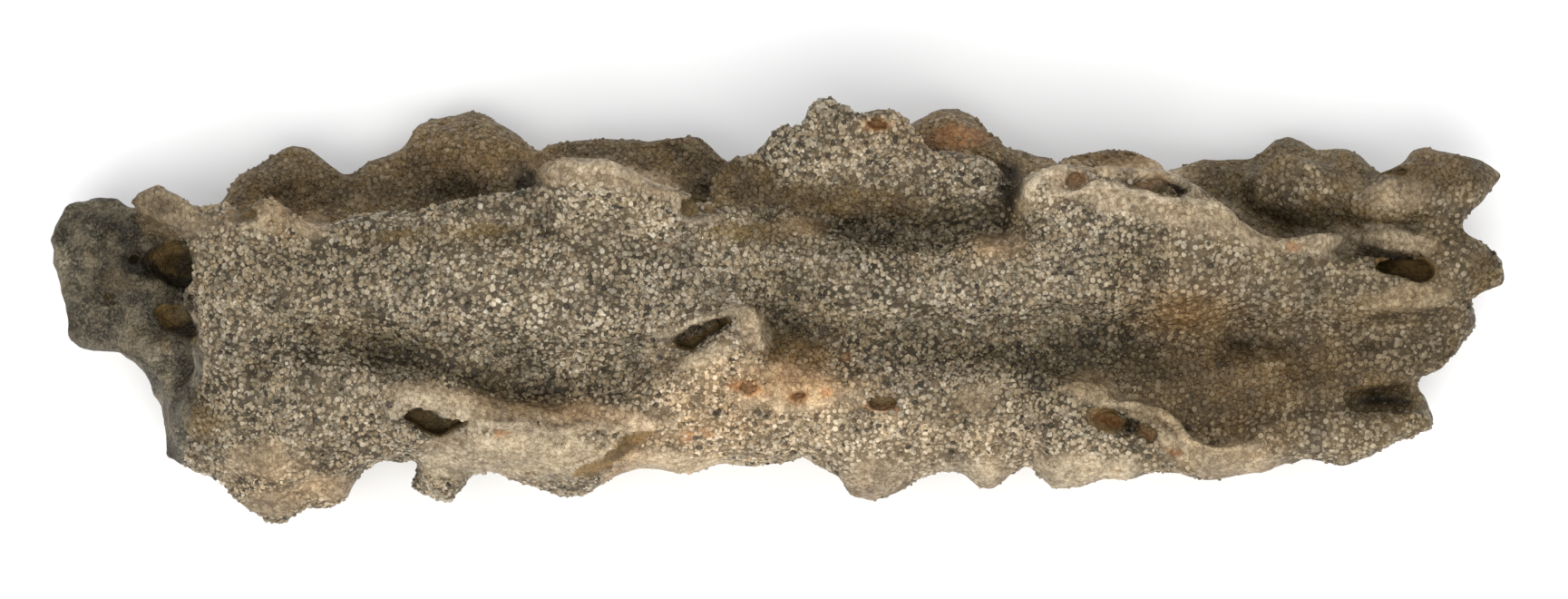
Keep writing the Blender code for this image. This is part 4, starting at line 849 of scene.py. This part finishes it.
# Lots of grains: each is its share of the draw, and its colours from its darkest grain to its palest.
SANDS = {
    "milky_quartz": (
        (0.0, 0.2),
        ((0, (0.33, 0.295, 0.24)), (0.9, (0.44, 0.405, 0.345)), (1, (0.60, 0.56, 0.49))),
    ),
    "cream_quartz": ((0.2, 0.41), ((0, (0.27, 0.222, 0.155)), (1, (0.41, 0.35, 0.26)))),
    "clear_quartz": ((0.41, 0.62), ((0, (0.17, 0.152, 0.118)), (1, (0.31, 0.285, 0.24)))),
    "tan_quartz": ((0.62, 0.83), ((0, (0.18, 0.141, 0.093)), (1, (0.32, 0.257, 0.182)))),
    "dark_grains": (
        (0.83, 1.0),
        ((0, (0.022, 0.020, 0.016)), (0.6, (0.062, 0.052, 0.037)), (1, (0.14, 0.10, 0.062))),
    ),
}
DUST = 0.12, 0.092, 0.056
# How much of each look of the glass its grains take on, and their colour there.
STAINS = {
    "brown": (0.75, (0.140, 0.096, 0.040)),
    "tan": (0.55, (0.27, 0.21, 0.145)),
    "cream": (0.55, (0.34, 0.29, 0.215)),
}


def strewn(low, high):
    """A modifier's tree that turns the glass into the grains whose lot falls between low and high."""
    group = bpy.data.node_groups.new("strewn sand", "GeometryNodeTree")
    group.interface.new_socket("Glass", in_out="INPUT", socket_type="NodeSocketGeometry")
    group.interface.new_socket("Sand", in_out="OUTPUT", socket_type="NodeSocketGeometry")
    tree = Tree(group)
    draw = "FunctionNodeRandomValue"

    def lot(seed, least=0.0, most=1.0):
        """A random number for each grain."""
        return tree.make(draw, {}, {"Min": least, "Max": most, "Seed": seed})

    def lots(seed, least, most):
        """Three random numbers for each grain."""
        sockets = {"Min": (least,) * 3, "Max": (most,) * 3, "Seed": seed}
        return tree.make(draw, {"data_type": "FLOAT_VECTOR"}, sockets)

    def named(name, kind="FLOAT"):
        return tree.make("GeometryNodeInputNamedAttribute", {"data_type": kind}, {"Name": name})

    def store(shape, name, value, domain, kind="FLOAT"):
        settings = {"domain": domain, "data_type": kind}
        sockets = {"Geometry": shape, "Name": name, "Value": value}
        return tree.make("GeometryNodeStoreNamedAttribute", settings, sockets)

    start = tree.make("NodeGroupInput")
    sockets = {
        "Mesh": start,
        "Distance Min": GRAIN_SPACING * MM,
        "Density Max": GRAINS_PER_MM2 / MM**2,
        "Density Factor": named("sand"),
        "Seed": 4,
    }
    scatter = {"distribute_method": "POISSON"}
    points = tree.make("GeometryNodeDistributePointsOnFaces", scatter, sockets)
    outward = points.beside("Normal")
    number = lot(11)
    own = tree.make("FunctionNodeCompare", {"operation": "GREATER_EQUAL"}, {"A": number, "B": low})
    below = tree.make("FunctionNodeCompare", {"operation": "LESS_THAN"}, {"A": number, "B": high})
    own = tree.make("FunctionNodeBooleanMath", {"operation": "AND"}, {0: own, 1: below})
    upright = tree.make("ShaderNodeSeparateXYZ", {}, {"Vector": outward}, "Z")
    rise = lot(12, *GRAIN_RISE) + RISE_ON_FLATS * upright.math("ABSOLUTE", upright)
    rise = tree.vector("SCALE", outward, rise * MM)
    points = tree.make("GeometryNodeSetPosition", {}, {"Geometry": points, "Offset": rise})
    grain = tree.make("GeometryNodeMeshIcoSphere", {}, {"Radius": 1.0, "Subdivisions": 1})
    grain = store(grain, "flat", grain.beside("UV Map"), "CORNER", "FLOAT2")
    turn = tree.make("FunctionNodeEulerToRotation", {}, {"Euler": lots(13, 0, FULL_TURN)})
    least, most = GRAIN_RADIUS
    size = least + (most - least) * lot(14) ** FEW_LARGE
    size = tree.vector("SCALE", lots(15, *GRAIN_STRETCH), size * MM)
    sockets = {"Points": points, "Selection": own, "Instance": grain, "Rotation": turn, "Scale": size}
    grains = tree.make("GeometryNodeInstanceOnPoints", {}, sockets)
    grains = store(grains, "tone", lot(16), "INSTANCE")
    grains = store(grains, "cell", tree.make("GeometryNodeInputIndex"), "INSTANCE", "INT")
    grains = tree.make("GeometryNodeRealizeInstances", {}, {"Geometry": grains})
    worn = tree.noise(tree.make("GeometryNodeInputPosition"), WEAR_SIZE, 1).beside("Color")
    worn = tree.vector("SCALE", tree.vector("SUBTRACT", worn, (0.5, 0.5, 0.5)), WEAR * MM)
    grains = tree.make("GeometryNodeSetPosition", {}, {"Geometry": grains, "Offset": worn})
    # Each grain's faces have a cell of their own in the OFBake map.
    cell = named("cell", "INT")
    column = cell.math("FLOORED_MODULO", cell, UV_CELLS)
    row = (cell / UV_CELLS).floor()
    corner = tree.make("ShaderNodeCombineXYZ", {}, {"X": column, "Y": row})
    margin = (1 - CELL_FILLED) / 2
    flat = named("flat", "FLOAT_VECTOR")
    flat = tree.vector("MULTIPLY_ADD", flat, (CELL_FILLED, CELL_FILLED, 0), (margin, margin, 0))
    flat = tree.vector("SCALE", tree.vector("ADD", corner, flat), 1 / UV_CELLS)
    grains = store(grains, "OFBake", flat, "CORNER", "FLOAT2")
    for name in ("flat", "cell"):
        grains = tree.make("GeometryNodeRemoveAttribute", {}, {"Geometry": grains, "Name": name})
    end = group.nodes.new("NodeGroupOutput")
    group.links.new(grains.socket, end.inputs[0])
    return group


for name, ((low, high), stops) in SANDS.items():
    grains = bpy.data.objects.new(name, glass.data.copy())
    bpy.context.scene.collection.objects.link(grains)
    grains.modifiers.new("strew", "NODES").node_group = strewn(low, high)
    settle(grains)
    grains.data.shade_flat()
    grains.data.materials.clear()
    finish, tree, shader = material(name.replace("_", " "))
    spot = tree.make("ShaderNodeTexCoord", output="Object")
    colour = tree.make("ShaderNodeValToRGB", {"stops": stops}, {"Fac": tree.attribute("tone")})
    colour = tree.fleck(colour, (tree.noise(spot, 0.25, 2), 0.4, 0.75, 0.4, DUST))
    for look, (cover, stain) in STAINS.items():
        colour = tree.mix(cover * tree.attribute(look), colour, stain)
    # The grains take the tints and the painted shade of the glass they sit on.
    tree.feed(shader, "Base Color", tree.tinted_and_shaded(colour))
    shader.inputs["Roughness"].default_value = 0.42
    shader.inputs["Specular IOR Level"].default_value = 0.3
    grains.data.materials.append(finish)
    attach(grains, BODY)
    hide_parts(NODE)

# The table and the studio: a plain pale top, a large soft lamp in front, a weaker one behind, and the
# camera straight above the piece.
TABLE_SIZE = 3.0
TABLE_DROP = 0.05
PALE = 0.92, 0.92, 0.92, 1
LAMP_AIM = 0.005
FRAME_WIDTH = 1729
PIXEL = 0.05
PIXEL_LEVEL = 8.0
CAMERA_HEIGHT = 1000.0
PICTURE_MIDDLE = 0.425, 0.625
SENSOR = 36.0

bm = bmesh.new()
bmesh.ops.create_grid(bm, x_segments=1, y_segments=1, size=TABLE_SIZE)
table = thing("table", bm)
table.location.z = -TABLE_DROP * MM
finish, tree, shader = material("pale table")
shader.inputs["Base Color"].default_value = PALE
shader.inputs["Roughness"].default_value = 0.9
table.data.materials.append(finish)


def lamp(name, direction, distance, size, power, colour):
    """A soft square lamp that looks at the middle of the piece."""
    light = bpy.data.lights.new(name, "AREA")
    light.size = size
    light.energy = power
    light.color = colour
    made = bpy.data.objects.new(name, light)
    way = Vector(direction).normalized()
    made.location = way * distance + Vector((0, 0, LAMP_AIM))
    made.rotation_euler = way.to_track_quat("Z", "Y").to_euler()
    bpy.context.scene.collection.objects.link(made)


lamp("key", (-0.2, -0.9, 1.4), 1.2, 1.3, 15.0, (1.0, 0.985, 0.95))
lamp("fill", (0.3, 0.9, 0.9), 1.2, 1.2, 5.0, (0.97, 0.985, 1.0))

world = bpy.data.worlds.new("studio")
world.use_nodes = True
sky = world.node_tree.nodes["Background"]
sky.inputs["Color"].default_value = (0.97, 0.98, 1.0, 1)
sky.inputs["Strength"].default_value = 0.78
bpy.context.scene.world = world
bpy.context.scene.view_settings.view_transform = "Standard"

camera = bpy.data.objects.new("camera", bpy.data.cameras.new("camera"))
camera.data.sensor_width = SENSOR
camera.data.lens = SENSOR * (CAMERA_HEIGHT - PIXEL_LEVEL) / (FRAME_WIDTH * PIXEL)
camera.location = Vector((*PICTURE_MIDDLE, CAMERA_HEIGHT)) * MM
camera.data.clip_start = 0.005
camera.data.clip_end = 10
bpy.context.scene.collection.objects.link(camera)
bpy.context.scene.camera = camera
